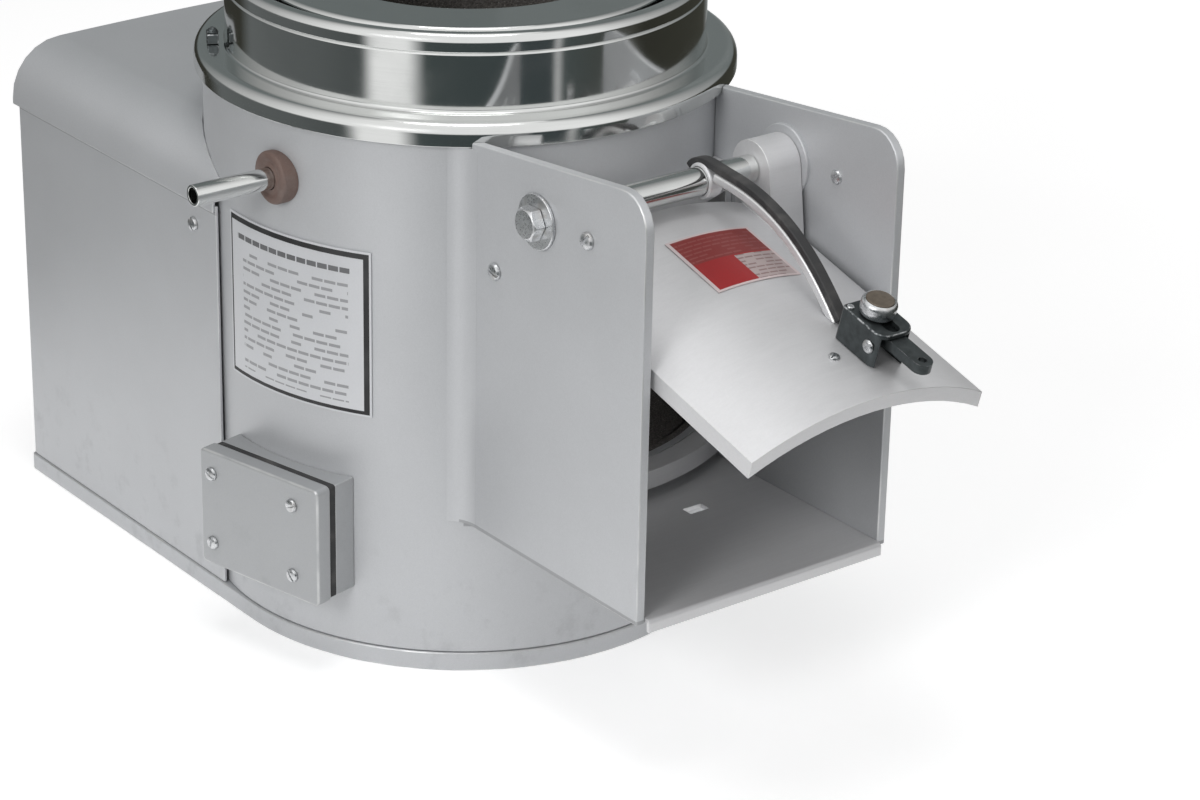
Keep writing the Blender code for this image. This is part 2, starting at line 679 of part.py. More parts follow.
def make_disc(axle):
    """The spinning assembly: shaft, pulley, disc plate, abrasive face and hand nut."""
    shaft_foot = PULLEY_BOTTOM_Z - SHAFT_FOOT_GAP
    stud_top = DISC_TOP_Z + NUT_HEIGHT - NUT_ROOF
    shaft = [(0, shaft_foot), (SHAFT_RADIUS, shaft_foot), (SHAFT_RADIUS, SHAFT_SHOULDER_Z)]
    shaft += [(STUD_RADIUS, SHAFT_SHOULDER_Z), (STUD_RADIUS, stud_top), (0, stud_top)]
    turned("drive_shaft", shaft, "zinc_steel", WHEEL_SEGMENTS, parent=axle)
    pulley = pulley_profile(BELT_PITCH_RADIUS, SHAFT_RADIUS + SEAT_GAP)
    turned("driven_pulley", pulley, "cast_iron", WHEEL_SEGMENTS, parent=axle)
    plate = tube_profile(DISC_RADIUS, STUD_RADIUS + SEAT_GAP, DISC_Z, DISC_TOP_Z)
    turned("disc_plate", plate, "satin_aluminium", parent=axle)

    shape = bmesh.new()
    inner = NUT_RADIUS + GRIT_NUT_GAP
    outer = DISC_RADIUS - GRIT_INSET
    radii = [inner + (outer - inner) * share for share in GRIT_RING_SHARES]
    rings = []
    for radius in radii:
        ring = []
        for step in range(WHEEL_SEGMENTS):
            turn = 2 * math.pi * step / WHEEL_SEGMENTS
            height = grit_height(radius, turn)
            ring.append(shape.verts.new((radius * math.cos(turn), radius * math.sin(turn), height)))
        rings.append(ring)
    for radius in (outer, inner):
        ring = []
        for step in range(WHEEL_SEGMENTS):
            turn = 2 * math.pi * step / WHEEL_SEGMENTS
            ring.append(shape.verts.new((radius * math.cos(turn), radius * math.sin(turn), GRIT_Z)))
        rings.append(ring)
    for ring, following in zip(rings, rings[1:] + rings[:1]):
        for step in range(WHEEL_SEGMENTS):
            after = (step + 1) % WHEEL_SEGMENTS
            shape.faces.new((ring[step], ring[after], following[after], following[step]))
    place_mesh("abrasive_disc", shape, "grit", axle)

    nut_low = DISC_TOP_Z + SEAT_GAP
    nut_top = nut_low + NUT_HEIGHT
    stud_hole = STUD_RADIUS + SEAT_GAP
    hole_top = stud_top + SEAT_GAP
    nut = [(stud_hole, nut_low), (NUT_RADIUS, nut_low), (NUT_RADIUS, nut_top - NUT_ROUNDING)]
    nut += [(NUT_RADIUS - NUT_ROUNDING, nut_top), (0, nut_top), (0, hole_top), (stud_hole, hole_top)]
    turned("disc_nut", nut, "zinc_steel", WHEEL_SEGMENTS, parent=axle)


def groove_half(radius, pitch):
    """Half width of the belt groove at a radius, wider than the belt there by the clearance."""
    slope = (BELT_OUTER_HALF - BELT_INNER_HALF) / BELT_HEIGHT
    return BELT_INNER_HALF + slope * (radius - pitch + BELT_HEIGHT / 2) + SEAT_GAP


def pulley_profile(pitch, bore, centre_z=BELT_Z):
    """A V-belt wheel with a pitch radius, its groove centred on the belt."""
    floor = pitch - BELT_HEIGHT / 2 - GROOVE_FLOOR_GAP
    rim = pitch + BELT_HEIGHT / 2
    low = centre_z - PULLEY_WIDTH / 2
    high = centre_z + PULLEY_WIDTH / 2
    return [
        (rim, low), (rim, centre_z - groove_half(rim, pitch)),
        (floor, centre_z - groove_half(floor, pitch)), (floor, centre_z + groove_half(floor, pitch)),
        (rim, centre_z + groove_half(rim, pitch)), (rim, high), (bore, high), (bore, low),
    ]


def belt_lean():
    """Angle between the belt's straight runs and the line of the two axles."""
    small = BELT_PITCH_RADIUS / PULLEY_RATIO
    return math.asin((BELT_PITCH_RADIUS - small) / MOTOR_Y)


def belt_half_width_at_wall():
    """How far from the centre plane the belt passes through the back of the drum."""
    return BELT_PITCH_RADIUS - DRUM_BORE * math.tan(belt_lean()) + BELT_HEIGHT


def make_belt():
    """The V-belt as one closed loop round both pulleys."""
    small = BELT_PITCH_RADIUS / PULLEY_RATIO
    lean = belt_lean()
    loop = []
    for step in range(WHEEL_SEGMENTS // 2 + 1):
        share = step / (WHEEL_SEGMENTS // 2)
        turn = math.pi - lean + (math.pi + 2 * lean) * share
        loop.append(((0, 0), BELT_PITCH_RADIUS, turn))
    for step in range(WHEEL_SEGMENTS // 4 + 1):
        share = step / (WHEEL_SEGMENTS // 4)
        turn = lean + (math.pi - 2 * lean) * share
        loop.append(((0, MOTOR_Y), small, turn))
    section = [(-BELT_HEIGHT / 2, -BELT_INNER_HALF), (BELT_HEIGHT / 2, -BELT_OUTER_HALF)]
    section += [(BELT_HEIGHT / 2, BELT_OUTER_HALF), (-BELT_HEIGHT / 2, BELT_INNER_HALF)]
    shape = bmesh.new()
    rings = []
    for (x, y), radius, turn in loop:
        ring = []
        for out, rise in section:
            reach = radius + out
            point = (x + reach * math.cos(turn), y + reach * math.sin(turn), BELT_Z + rise)
            ring.append(shape.verts.new(point))
        rings.append(ring)
    for ring, following in zip(rings, rings[1:] + rings[:1]):
        for step in range(len(section)):
            after = (step + 1) % len(section)
            shape.faces.new((ring[step], ring[after], following[after], following[step]))
    place_mesh("drive_belt", shape, "black_rubber")


def make_motor(rotor):
    small = BELT_PITCH_RADIUS / PULLEY_RATIO
    shaft_foot = PULLEY_BOTTOM_Z - MOTOR_SHAFT_FOOT_GAP
    shaft_top = MOTOR_Z + MOTOR_SHAFT_DEPTH
    turned("motor_shaft", rod_profile(MOTOR_SHAFT_RADIUS, shaft_foot, shaft_top), "zinc_steel",
           ROD_SEGMENTS, parent=rotor)
    pulley = pulley_profile(small, MOTOR_SHAFT_RADIUS + SEAT_GAP)
    turned("motor_pulley", pulley, "cast_iron", WHEEL_SEGMENTS, parent=rotor)

    bore = MOTOR_SHAFT_RADIUS + SEAT_GAP
    bell = MOTOR_RADIUS - MOTOR_BELL_STEP
    top = MOTOR_Z + MOTOR_HEIGHT
    profile = [
        (bore, MOTOR_Z), (bell, MOTOR_Z), (bell, MOTOR_Z + MOTOR_BELL_HEIGHT),
        (MOTOR_RADIUS, MOTOR_Z + MOTOR_BELL_HEIGHT), (MOTOR_RADIUS, top - MOTOR_BELL_HEIGHT),
        (bell, top - MOTOR_BELL_HEIGHT), (bell, top - MOTOR_DOME), (bell - MOTOR_DOME, top), (0, top),
        (0, shaft_top + SEAT_GAP), (bore, shaft_top + SEAT_GAP),
    ]
    centre = Matrix.Translation((0, MOTOR_Y, 0))
    motor = turned("motor_body", profile, "motor_paint", WHEEL_SEGMENTS, centre)

    low = MOTOR_Y - MOUNT_LENGTH / 2
    high = MOTOR_Y + MOUNT_LENGTH / 2
    foot = MOUNT_HALF + MOUNT_FOOT
    foot_top = DRUM_BOTTOM_Z + MOUNT_SHEET
    inner = MOUNT_HALF - MOUNT_SHEET
    under = MOUNT_TOP_Z - MOUNT_SHEET
    right = [(MOUNT_HALF, MOUNT_TOP_Z), (MOUNT_HALF, foot_top), (foot, foot_top)]
    right += [(foot, DRUM_BOTTOM_Z), (inner, DRUM_BOTTOM_Z), (inner, under)]
    outline = right + [(-x, z) for x, z in reversed(right)]
    mount = prism_y("motor_mount", outline, low, high, "zinc_steel")
    bolts = ring_places(MOTOR_BOLT_COUNT, MOTOR_BOLT_CIRCLE, MOTOR_Y)
    hole_low = under - CUT_OVERRUN
    hole_high = MOUNT_TOP_Z + CUT_OVERRUN
    combine(mount, hole_group("mount_bolt_holes", bolts, MOTOR_BOLT_RADIUS + SEAT_GAP, hole_low, hole_high))
    combine(mount, hole_group("mount_shaft_hole", [(0, MOTOR_Y)], MOUNT_HOLE_RADIUS, hole_low, hole_high))
    head_top = under - SEAT_GAP
    head_low = head_top - MOTOR_BOLT_HEAD_HEIGHT
    thread_top = MOTOR_Z + JOIN_DEPTH
    bolt = [(0, head_low), (MOTOR_BOLT_HEAD_RADIUS, head_low), (MOTOR_BOLT_HEAD_RADIUS, head_top)]
    bolt += [(MOTOR_BOLT_RADIUS, head_top), (MOTOR_BOLT_RADIUS, thread_top), (0, thread_top)]
    join_bolts(motor, "motor_bolts", bolt, bolts)
    screw_x = MOUNT_HALF + MOUNT_FOOT / 2
    screw_ys = (low + MOUNT_SCREW_INSET, high - MOUNT_SCREW_INSET)
    screws = [(x, y) for x in (-screw_x, screw_x) for y in screw_ys]
    head = joined_head_profile(MOUNT_SCREW_RADIUS, MOUNT_SCREW_HEIGHT, MOUNT_SCREW_HEIGHT / 2)
    join_bolts(mount, "mount_screws", head, screws, foot_top)


def cover_outline(half, corner, top, low):
    """Cross-section of the rounded cover, from one skirt over the crown to the other."""
    centre_x = half - corner
    centre_z = top - COVER_RISE - corner
    steps = 6
    points = [(half, low)] + arc((centre_x, centre_z), corner, 0, math.pi / 2, steps)
    points.append((0, top))
    points += arc((-centre_x, centre_z), corner, math.pi / 2, math.pi, steps) + [(-half, low)]
    return points


def make_motor_housing():
    """A bent sheet on three sides of the motor, open to the drum, with a domed cover."""
    inner_x = DRUM_RADIUS - HOUSING_SHEET
    inner_y = HOUSING_BACK_Y - HOUSING_SHEET
    right = [(inner_x, HOUSING_FRONT_Y), (DRUM_RADIUS, HOUSING_FRONT_Y), (DRUM_RADIUS, HOUSING_BACK_Y)]
    left = [(-x, y) for x, y in reversed(right)]
    outline = right + left + [(-inner_x, inner_y), (inner_x, inner_y)]
    prism_z("motor_housing", outline, DRUM_BOTTOM_Z, HOUSING_TOP_Z, "silver_paint")

    top = HOUSING_TOP_Z + COVER_HEIGHT - COVER_LAP
    outer = cover_outline(COVER_HALF, COVER_CORNER, top, COVER_SKIRT_Z)
    cover = prism_y("motor_cover", outer, HOUSING_FRONT_Y, COVER_BACK_Y, "silver_paint")
    inside_low = COVER_SKIRT_Z - CUT_OVERRUN
    inside_corner = COVER_CORNER - COVER_SHEET
    inside = cover_outline(COVER_HALF - COVER_SHEET, inside_corner, top - COVER_SHEET, inside_low)
    hollow = prism_y("cover_hollow", inside, -CUT_OVERRUN, COVER_BACK_Y - COVER_SHEET)
    combine(cover, hollow)
    combine(cover, drum_cutter("cover_drum_cut", DRUM_RADIUS + COVER_DRUM_GAP, COVER_SKIRT_Z, top))

    screw_z = HOUSING_TOP_Z - SIDE_SCREW_DROP
    profile = head_profile(SIDE_SCREW_RADIUS, SIDE_SCREW_HEIGHT, SIDE_SCREW_HEIGHT / 2)
    low_y = SIDE_SCREW_Y - BRACKET_BLOCK_LENGTH / 2
    high_y = SIDE_SCREW_Y + BRACKET_BLOCK_LENGTH / 2
    low_z = screw_z - BRACKET_BLOCK_HEIGHT / 2
    high_z = screw_z + BRACKET_BLOCK_HEIGHT / 2
    outer_x = inner_x - SEAT_GAP
    wall = DRUM_RADIUS + SEAT_GAP
    for name, side in (("left", -1), ("right", 1)):
        seat = (side * wall, SIDE_SCREW_Y, screw_z)
        screw_place = along((side, 0, 0), seat)
        turned("housing_screw_" + name, profile, "zinc_steel", SCREW_SEGMENTS, screw_place)
        outline = [(side * math.sqrt(wall ** 2 - y ** 2), y) for y in (low_y, SIDE_SCREW_Y, high_y)]
        outline += [(side * outer_x, high_y), (side * outer_x, low_y)]
        prism_z("housing_bracket_" + name, outline, low_z, high_z, "zinc_steel")


def make_collar():
    """The polished hopper collar, the loose splash ring inside it, and the clips on its shoulder."""
    inner_band = COLLAR_BAND_RADIUS - COLLAR_SHEET
    ledge_top = COLLAR_BASE_Z + COLLAR_LEDGE_THICKNESS
    inner_skirt = COLLAR_RADIUS - COLLAR_SHEET
    corner = (COLLAR_RADIUS - COLLAR_SHOULDER_ROUNDING, COLLAR_SHOULDER_Z - COLLAR_SHOULDER_ROUNDING)
    profile = [(COLLAR_RADIUS, COLLAR_SKIRT_Z)]
    profile += arc(corner, COLLAR_SHOULDER_ROUNDING, 0, math.pi / 2, 3)
    profile.append((COLLAR_BAND_RADIUS, COLLAR_SHOULDER_Z))
    profile += arc((COLLAR_BEAD_CENTRE, COLLAR_BEAD_Z), COLLAR_BEAD_RADIUS, 0, math.radians(225), 5)
    profile += [
        (inner_band, COLLAR_BEAD_Z - COLLAR_BEAD_RADIUS), (inner_band, ledge_top),
        (COLLAR_LEDGE_RADIUS, ledge_top), (COLLAR_LEDGE_RADIUS, COLLAR_BASE_Z),
        (inner_skirt, COLLAR_BASE_Z), (inner_skirt, COLLAR_SKIRT_Z),
    ]
    turned("hopper_collar", profile, "polished_steel")

    foot_z = ledge_top + SEAT_GAP
    wall = RING_RADIUS - RING_FOOT_WIDTH
    top = COLLAR_TOP_Z - RING_TOP_DROP
    under = top - RING_SHEET
    lip_low = top - RING_MOUTH_LIP
    inner_wall = wall - RING_SHEET
    profile = [(RING_RADIUS, foot_z), (RING_RADIUS, foot_z + RING_SHEET), (wall, foot_z + RING_SHEET)]
    profile += arc((wall - RING_ROUNDING, top - RING_ROUNDING), RING_ROUNDING, 0, math.pi / 2, 2)
    profile += [
        (RING_MOUTH_RADIUS, top), (RING_MOUTH_RADIUS, lip_low),
        (RING_MOUTH_RADIUS + RING_SHEET, lip_low), (RING_MOUTH_RADIUS + RING_SHEET, under),
        (inner_wall - RING_SHEET, under), (inner_wall, under - RING_SHEET), (inner_wall, foot_z),
    ]
    turned("splash_ring", profile, "satin_aluminium")

    reach = COLLAR_BAND_RADIUS + CLIP_BAND_GAP
    head = joined_head_profile(CLIP_HEAD_RADIUS, CLIP_HEAD_HEIGHT, CLIP_HEAD_HEIGHT / 2)
    for name, angle in (("left", CLIP_ANGLE), ("right", math.pi - CLIP_ANGLE)):
        centre = (reach * math.cos(angle), reach * math.sin(angle), COLLAR_SHOULDER_Z + SEAT_GAP)
        pivot = add_axis("clip_axis_" + name, centre)
        pivot.rotation_euler.z = angle
        low = (-CLIP_WIDTH / 2, -CLIP_LENGTH / 2, 0)
        clip = block("collar_clip_" + name, low, (CLIP_WIDTH / 2, CLIP_LENGTH / 2, CLIP_HEIGHT),
                     "dark_steel", pivot)
        place = Matrix.Translation((0, 0, CLIP_HEIGHT))
        screw = turned("clip_head_" + name, head, None, SCREW_SEGMENTS, place, pivot)
        combine(clip, screw, "UNION")


def cheek_outline(low_z):
    """Side view of a chute cheek, from the drum to its rounded front corner."""
    back_y = -DRUM_RADIUS / 2
    front_top = DRUM_TOP_Z + CHEEK_FRONT_RISE
    back_top = DRUM_TOP_Z - CHEEK_BACK_DROP
    rise = (front_top - back_top) / (back_y - CHEEK_FRONT_Y)
    lean = math.atan(rise)
    centre_y = CHEEK_FRONT_Y + CHEEK_CORNER
    top_there = front_top - rise * (centre_y - CHEEK_FRONT_Y)
    centre = (centre_y, top_there - CHEEK_CORNER / math.cos(lean))
    start = math.pi / 2 - lean
    corner = arc(centre, CHEEK_CORNER, start, math.pi, 7)
    return [(back_y, back_top)] + corner + [(CHEEK_FRONT_Y, low_z), (back_y, low_z)]


def make_chute():
    """Two cheek plates on the drum, the floor between them and the screws through them."""
    low_z = CHUTE_BOTTOM_Z - CHEEK_FOOT_DROP
    top_z = DRUM_TOP_Z + CHEEK_FRONT_RISE
    outline = cheek_outline(low_z)
    rod_hole = HINGE_ROD_RADIUS + SEAT_GAP
    outer_x = CHUTE_HALF + CHEEK_THICKNESS
    boss = rod_profile(CHEEK_BOSS_RADIUS, CHUTE_HALF - CHEEK_BOSS_HEIGHT, CHUTE_HALF + JOIN_DEPTH)
    hole = rod_profile(rod_hole, CHUTE_HALF - CHEEK_BOSS_HEIGHT - CUT_OVERRUN, outer_x + CUT_OVERRUN)
    under_collar = rod_profile(COLLAR_RADIUS + SEAT_GAP, COLLAR_SKIRT_Z - SEAT_GAP, COLLAR_TOP_Z)
    for name, side in (("chute_cheek_left", -1), ("chute_cheek_right", 1)):
        ends = sorted((side * CHUTE_HALF, side * outer_x))
        cheek = prism_x(name, outline, ends[0], ends[1], "silver_paint")
        soften(cheek, CHEEK_ROUNDING)
        place = along((side, 0, 0), (0, HINGE_Y, HINGE_Z))
        combine(cheek, turned(name + "_boss", boss, segments=ROD_SEGMENTS, place=place), "UNION")
        combine(cheek, drum_cutter(name + "_drum_cut", DRUM_RADIUS + SEAT_GAP, low_z, top_z))
        combine(cheek, turned(name + "_collar_cut", under_collar))
        combine(cheek, turned(name + "_rod_hole", hole, segments=ROD_SEGMENTS, place=place))

    half = CHUTE_HALF - SEAT_GAP
    lip_y = CHEEK_FRONT_Y - CHUTE_LIP_REACH
    lip_low = CHUTE_TOP_Z - CHUTE_LIP_HEIGHT
    sheet = [
        (0, CHUTE_TOP_Z), (lip_y, CHUTE_TOP_Z), (lip_y, lip_low),
        (lip_y + CHUTE_FLOOR_THICKNESS, lip_low), (lip_y + CHUTE_FLOOR_THICKNESS, CHUTE_BOTTOM_Z),
        (0, CHUTE_BOTTOM_Z),
    ]
    floor = prism_x("chute_floor", sheet, -half, half, "satin_aluminium")
    combine(floor, drum_cutter("chute_floor_drum_cut", DRUM_RADIUS + SEAT_GAP, CHUTE_BOTTOM_Z, CHUTE_TOP_Z))
    hole_x = BOLT_WIDTH / 2 + BOLT_HOLE_GAP
    hole_y = BOLT_THICKNESS / 2 + BOLT_HOLE_GAP
    bolt_y = HINGE_Y - BOLT_CENTRE_RISE
    low = (LATCH_X - hole_x, bolt_y - hole_y, CHUTE_BOTTOM_Z - CUT_OVERRUN)
    high = (LATCH_X + hole_x, bolt_y + hole_y, CHUTE_TOP_Z + CUT_OVERRUN)
    combine(floor, block("bolt_keeper_hole", low, high))

    profile = head_profile(CHUTE_SCREW_RADIUS, CHUTE_SCREW_HEIGHT, CHUTE_SCREW_HEIGHT / 2)
    front = (HINGE_Y - CHUTE_SCREW_FRONT, HINGE_Z + CHUTE_SCREW_FRONT_RISE)
    back = (HINGE_Y + CHUTE_SCREW_BACK, HINGE_Z - CHUTE_SCREW_BACK_DROP)
    seat_x = outer_x + SEAT_GAP
    for side_name, side in (("left", -1), ("right", 1)):
        for spot_name, (y, z) in (("front", front), ("back", back)):
            place = along((side, 0, 0), (side * seat_x, y, z))
            name = "chute_screw_" + side_name + "_" + spot_name
            turned(name, profile, "zinc_steel", SCREW_SEGMENTS, place)

    half = CHUTE_HALF - SEAT_GAP
    low = SILL_Z - JAMB_SILL
    high = OPENING_TOP_Z + JAMB_HEAD
    wall = wall_outline(JAMB_INNER, JAMB_OUTER, half, 0, DOOR_ARC_STEPS)
    jamb = prism_z("door_jamb", wall, low, high, "satin_aluminium")
    back = (-OPENING_HALF, -JAMB_OUTER - CUT_OVERRUN, SILL_Z)
    combine(jamb, block("jamb_mouth", back, (OPENING_HALF, -DRUM_RADIUS / 2, OPENING_TOP_Z)))


def make_hinge(hinge):
    """The long bolt that carries the door, its washers and nut, and the tube that turns on it."""
    washer_low = CHUTE_HALF + CHEEK_THICKNESS + SEAT_GAP
    washer_high = washer_low + PIVOT_WASHER_THICKNESS
    head_low = washer_high + SEAT_GAP
    head_high = head_low + PIVOT_HEAD_HEIGHT
    head_face = PIVOT_HEAD_RADIUS - PIVOT_HEAD_ROUNDING
    left = along((-1, 0, 0), (0, HINGE_Y, HINGE_Z))
    right = along((1, 0, 0), (0, HINGE_Y, HINGE_Z))
    rod = [
        (0, -washer_high), (HINGE_ROD_RADIUS, -washer_high), (HINGE_ROD_RADIUS, head_low),
        (PIVOT_HEAD_RADIUS, head_low), (PIVOT_HEAD_RADIUS, head_high - PIVOT_HEAD_ROUNDING),
        (head_face, head_high), (0, head_high),
    ]
    turned("hinge_rod", rod, "zinc_steel", ROD_SEGMENTS, left)
    nut = head_profile(PIVOT_HEAD_RADIUS, PIVOT_HEAD_HEIGHT, PIVOT_HEAD_ROUNDING)
    nut_place = right @ Matrix.Translation((0, 0, head_low))
    turned("hinge_nut", nut, "zinc_steel", ROD_SEGMENTS, nut_place)
    bore = HINGE_ROD_RADIUS + SEAT_GAP
    washer = tube_profile(PIVOT_WASHER_RADIUS, bore, washer_low, washer_high)
    turned("pivot_washer_left", washer, "zinc_steel", ROD_SEGMENTS, left)
    turned("pivot_washer_right", washer, "zinc_steel", ROD_SEGMENTS, right)

    half = KNUCKLE_END - KNUCKLE_LENGTH - SEAT_GAP
    place = along((1, 0, 0), (0, 0, 0))
    turned("hinge_tube", tube_profile(HINGE_TUBE_RADIUS, bore, -half, half), "satin_aluminium",
           ROD_SEGMENTS, place, hinge)


def knuckle_outline():
    """Side view of a hinge knuckle: a boss round the rod, and the web from it to the door."""
    back = HINGE_FORWARD
    turn = math.acos(KNUCKLE_RADIUS / back)
    down = math.atan2(-KNUCKLE_TAIL, back)
    lower_turn = math.acos(KNUCKLE_RADIUS / math.hypot(back, KNUCKLE_TAIL))
    boss = arc((0, 0), KNUCKLE_RADIUS, turn, 2 * math.pi + down - lower_turn, 14)
    return boss + [(back, -KNUCKLE_TAIL), (back, 0)]


def make_door(hinge):
    """The curved door, drawn shut in the hinge's own frame: down is -Z and outward is -Y."""
    centre_y = -HINGE_Y
    rim_inner = DOOR_INNER - DOOR_RIM_DEPTH
    wall = wall_outline(rim_inner, DOOR_OUTER, DOOR_HALF, centre_y, DOOR_ARC_STEPS)
    door = prism_z("door_panel", wall, -DOOR_HEIGHT, 0, "satin_aluminium", hinge)
    recess_half = DOOR_HALF - DOOR_RIM_WIDTH
    recess = wall_outline(rim_inner - CUT_OVERRUN, DOOR_INNER, recess_half, centre_y, DOOR_ARC_STEPS)
    recess_low = -DOOR_HEIGHT + DOOR_RIM_WIDTH
    combine(door, prism_z("door_recess", recess, recess_low, CUT_OVERRUN, None, hinge))
    trim_radius = (DOOR_INNER + DOOR_OUTER) / 2
    rod_hole = HINGE_ROD_RADIUS + SEAT_GAP
    for name, side in (("left", -1), ("right", 1)):
        ends = sorted((side * KNUCKLE_END, side * (KNUCKLE_END - KNUCKLE_LENGTH)))
        knuckle = prism_x("knuckle_" + name, knuckle_outline(), ends[0], ends[1], None, hinge)
        trim_name = "knuckle_trim_" + name
        trim = drum_cutter(trim_name, trim_radius, -DOOR_HEIGHT, KNUCKLE_RADIUS, hinge, centre_y)
        combine(knuckle, trim)
        combine(door, knuckle, "UNION")
        hole = rod_profile(rod_hole, 0, CHUTE_HALF)
        place = along((side, 0, 0), (0, 0, 0))
        combine(door, turned("knuckle_bore_" + name, hole, None, ROD_SEGMENTS, place, hinge))

    half = recess_half - SEAT_GAP
    seal = wall_outline(GASKET_INNER, GASKET_OUTER, half, centre_y, DOOR_ARC_STEPS)
    low = recess_low + SEAT_GAP
    gasket = prism_z("door_gasket", seal, low, -GASKET_HEAD_DROP, "black_rubber", hinge)
    mouth_half = half - GASKET_WIDTH
    window_low = (-mouth_half, centre_y - DOOR_OUTER, low + GASKET_WIDTH)
    window_high = (mouth_half, centre_y - DRUM_RADIUS / 2, -GASKET_HEAD_DROP - GASKET_WIDTH)
    combine(gasket, block("gasket_window", window_low, window_high, None, hinge))

    face = DOOR_OUTER + SEAT_GAP
    start = math.asin(LABEL_LEFT / face) - math.pi / 2
    end = math.asin(LABEL_RIGHT / face) - math.pi / 2
    outer = arc((0, centre_y), face + LABEL_THICKNESS, start, end, DOOR_ARC_STEPS // 4)
    inner = arc((0, centre_y), face, end, start, DOOR_ARC_STEPS // 4)
    prism_z("door_label", outer + inner, -LABEL_START - LABEL_HEIGHT, -LABEL_START, "red_panel", hinge)


def handle_curve(steps):
    """Centre line of the arched handle in the door's frame: (down the door, outward)."""
    foot = DOOR_SET_BACK - HANDLE_FOOT_RISE
    start = Vector((0, HANDLE_HUB_RADIUS - HANDLE_THICKNESS / 2 - JOIN_DEPTH))
    rise = Vector((HANDLE_LENGTH * HANDLE_RISE_SHARES[0], HANDLE_CREST * HANDLE_RISE_SHARES[1]))
    fall = Vector((HANDLE_LENGTH * HANDLE_FALL_SHARES[0], HANDLE_CREST * HANDLE_FALL_SHARES[1]))
    end = Vector((HANDLE_LENGTH, -foot))
    points = []
    for step in range(steps + 1):
        t = step / steps
        u = 1 - t
        points.append(start * u ** 3 + rise * (3 * u * u * t) + fall * (3 * u * t * t) + end * t ** 3)
    return points


HANDLE_RISE_SHARES = (0.60, 1.625)
HANDLE_FALL_SHARES = (0.712, -0.826)
HANDLE_STEPS = 12


def offset_curve(points, offset):
    """A curve beside the handle's centre line, as (y, z) in the door's frame."""
    beside = []
    for step, point in enumerate(points):
        before = points[max(step - 1, 0)]
        after = points[min(step + 1, len(points) - 1)]
        run = (after - before).normalized()
        spot = point + Vector((-run.y, run.x)) * offset
        beside.append((-spot.y, -spot.x))
    return beside


def make_handle(hinge):
    """The arched bar from the hinge tube to the latch, with a rubber grip along its back."""
    curve = handle_curve(HANDLE_STEPS)
    half = HANDLE_THICKNESS / 2
    low_x = LATCH_X - HANDLE_WIDTH / 2
    high_x = LATCH_X + HANDLE_WIDTH / 2
    foot_z = HANDLE_FOOT_LENGTH - HANDLE_LENGTH
    foot_y = DOOR_SET_BACK + DOOR_WALL
    under = [point for point in offset_curve(curve, -half) if point[1] > foot_z]
    outline = under + [(foot_y, foot_z), (foot_y, -HANDLE_LENGTH)] + offset_curve(curve, half)[::-1]
    bar = prism_x("door_handle", outline, low_x, high_x, "satin_aluminium", hinge)
    hub = tube_profile(HANDLE_HUB_RADIUS, HINGE_TUBE_RADIUS, low_x - JOIN_DEPTH, high_x + JOIN_DEPTH)
    place = along((1, 0, 0), (0, 0, 0))
    ring = turned("handle_hub", hub, segments=ROD_SEGMENTS, place=place, parent=hinge)
    combine(bar, ring, "UNION")
    bore = rod_profile(HINGE_TUBE_RADIUS + SEAT_GAP, low_x - CUT_OVERRUN, high_x + CUT_OVERRUN)
    combine(bar, turned("handle_bore", bore, segments=ROD_SEGMENTS, place=place, parent=hinge))
    face = drum_cutter("handle_door_cut", DOOR_OUTER + SEAT_GAP, -DOOR_HEIGHT, 0, hinge, -HINGE_Y)
    combine(bar, face)

    low = half + SEAT_GAP
    grip_x = GRIP_WIDTH / 2
    grip = offset_curve(curve[1:], low) + offset_curve(curve[1:], low + GRIP_THICKNESS)[::-1]
    prism_x("handle_grip", grip, LATCH_X - grip_x, LATCH_X + grip_x, "black_rubber", hinge)


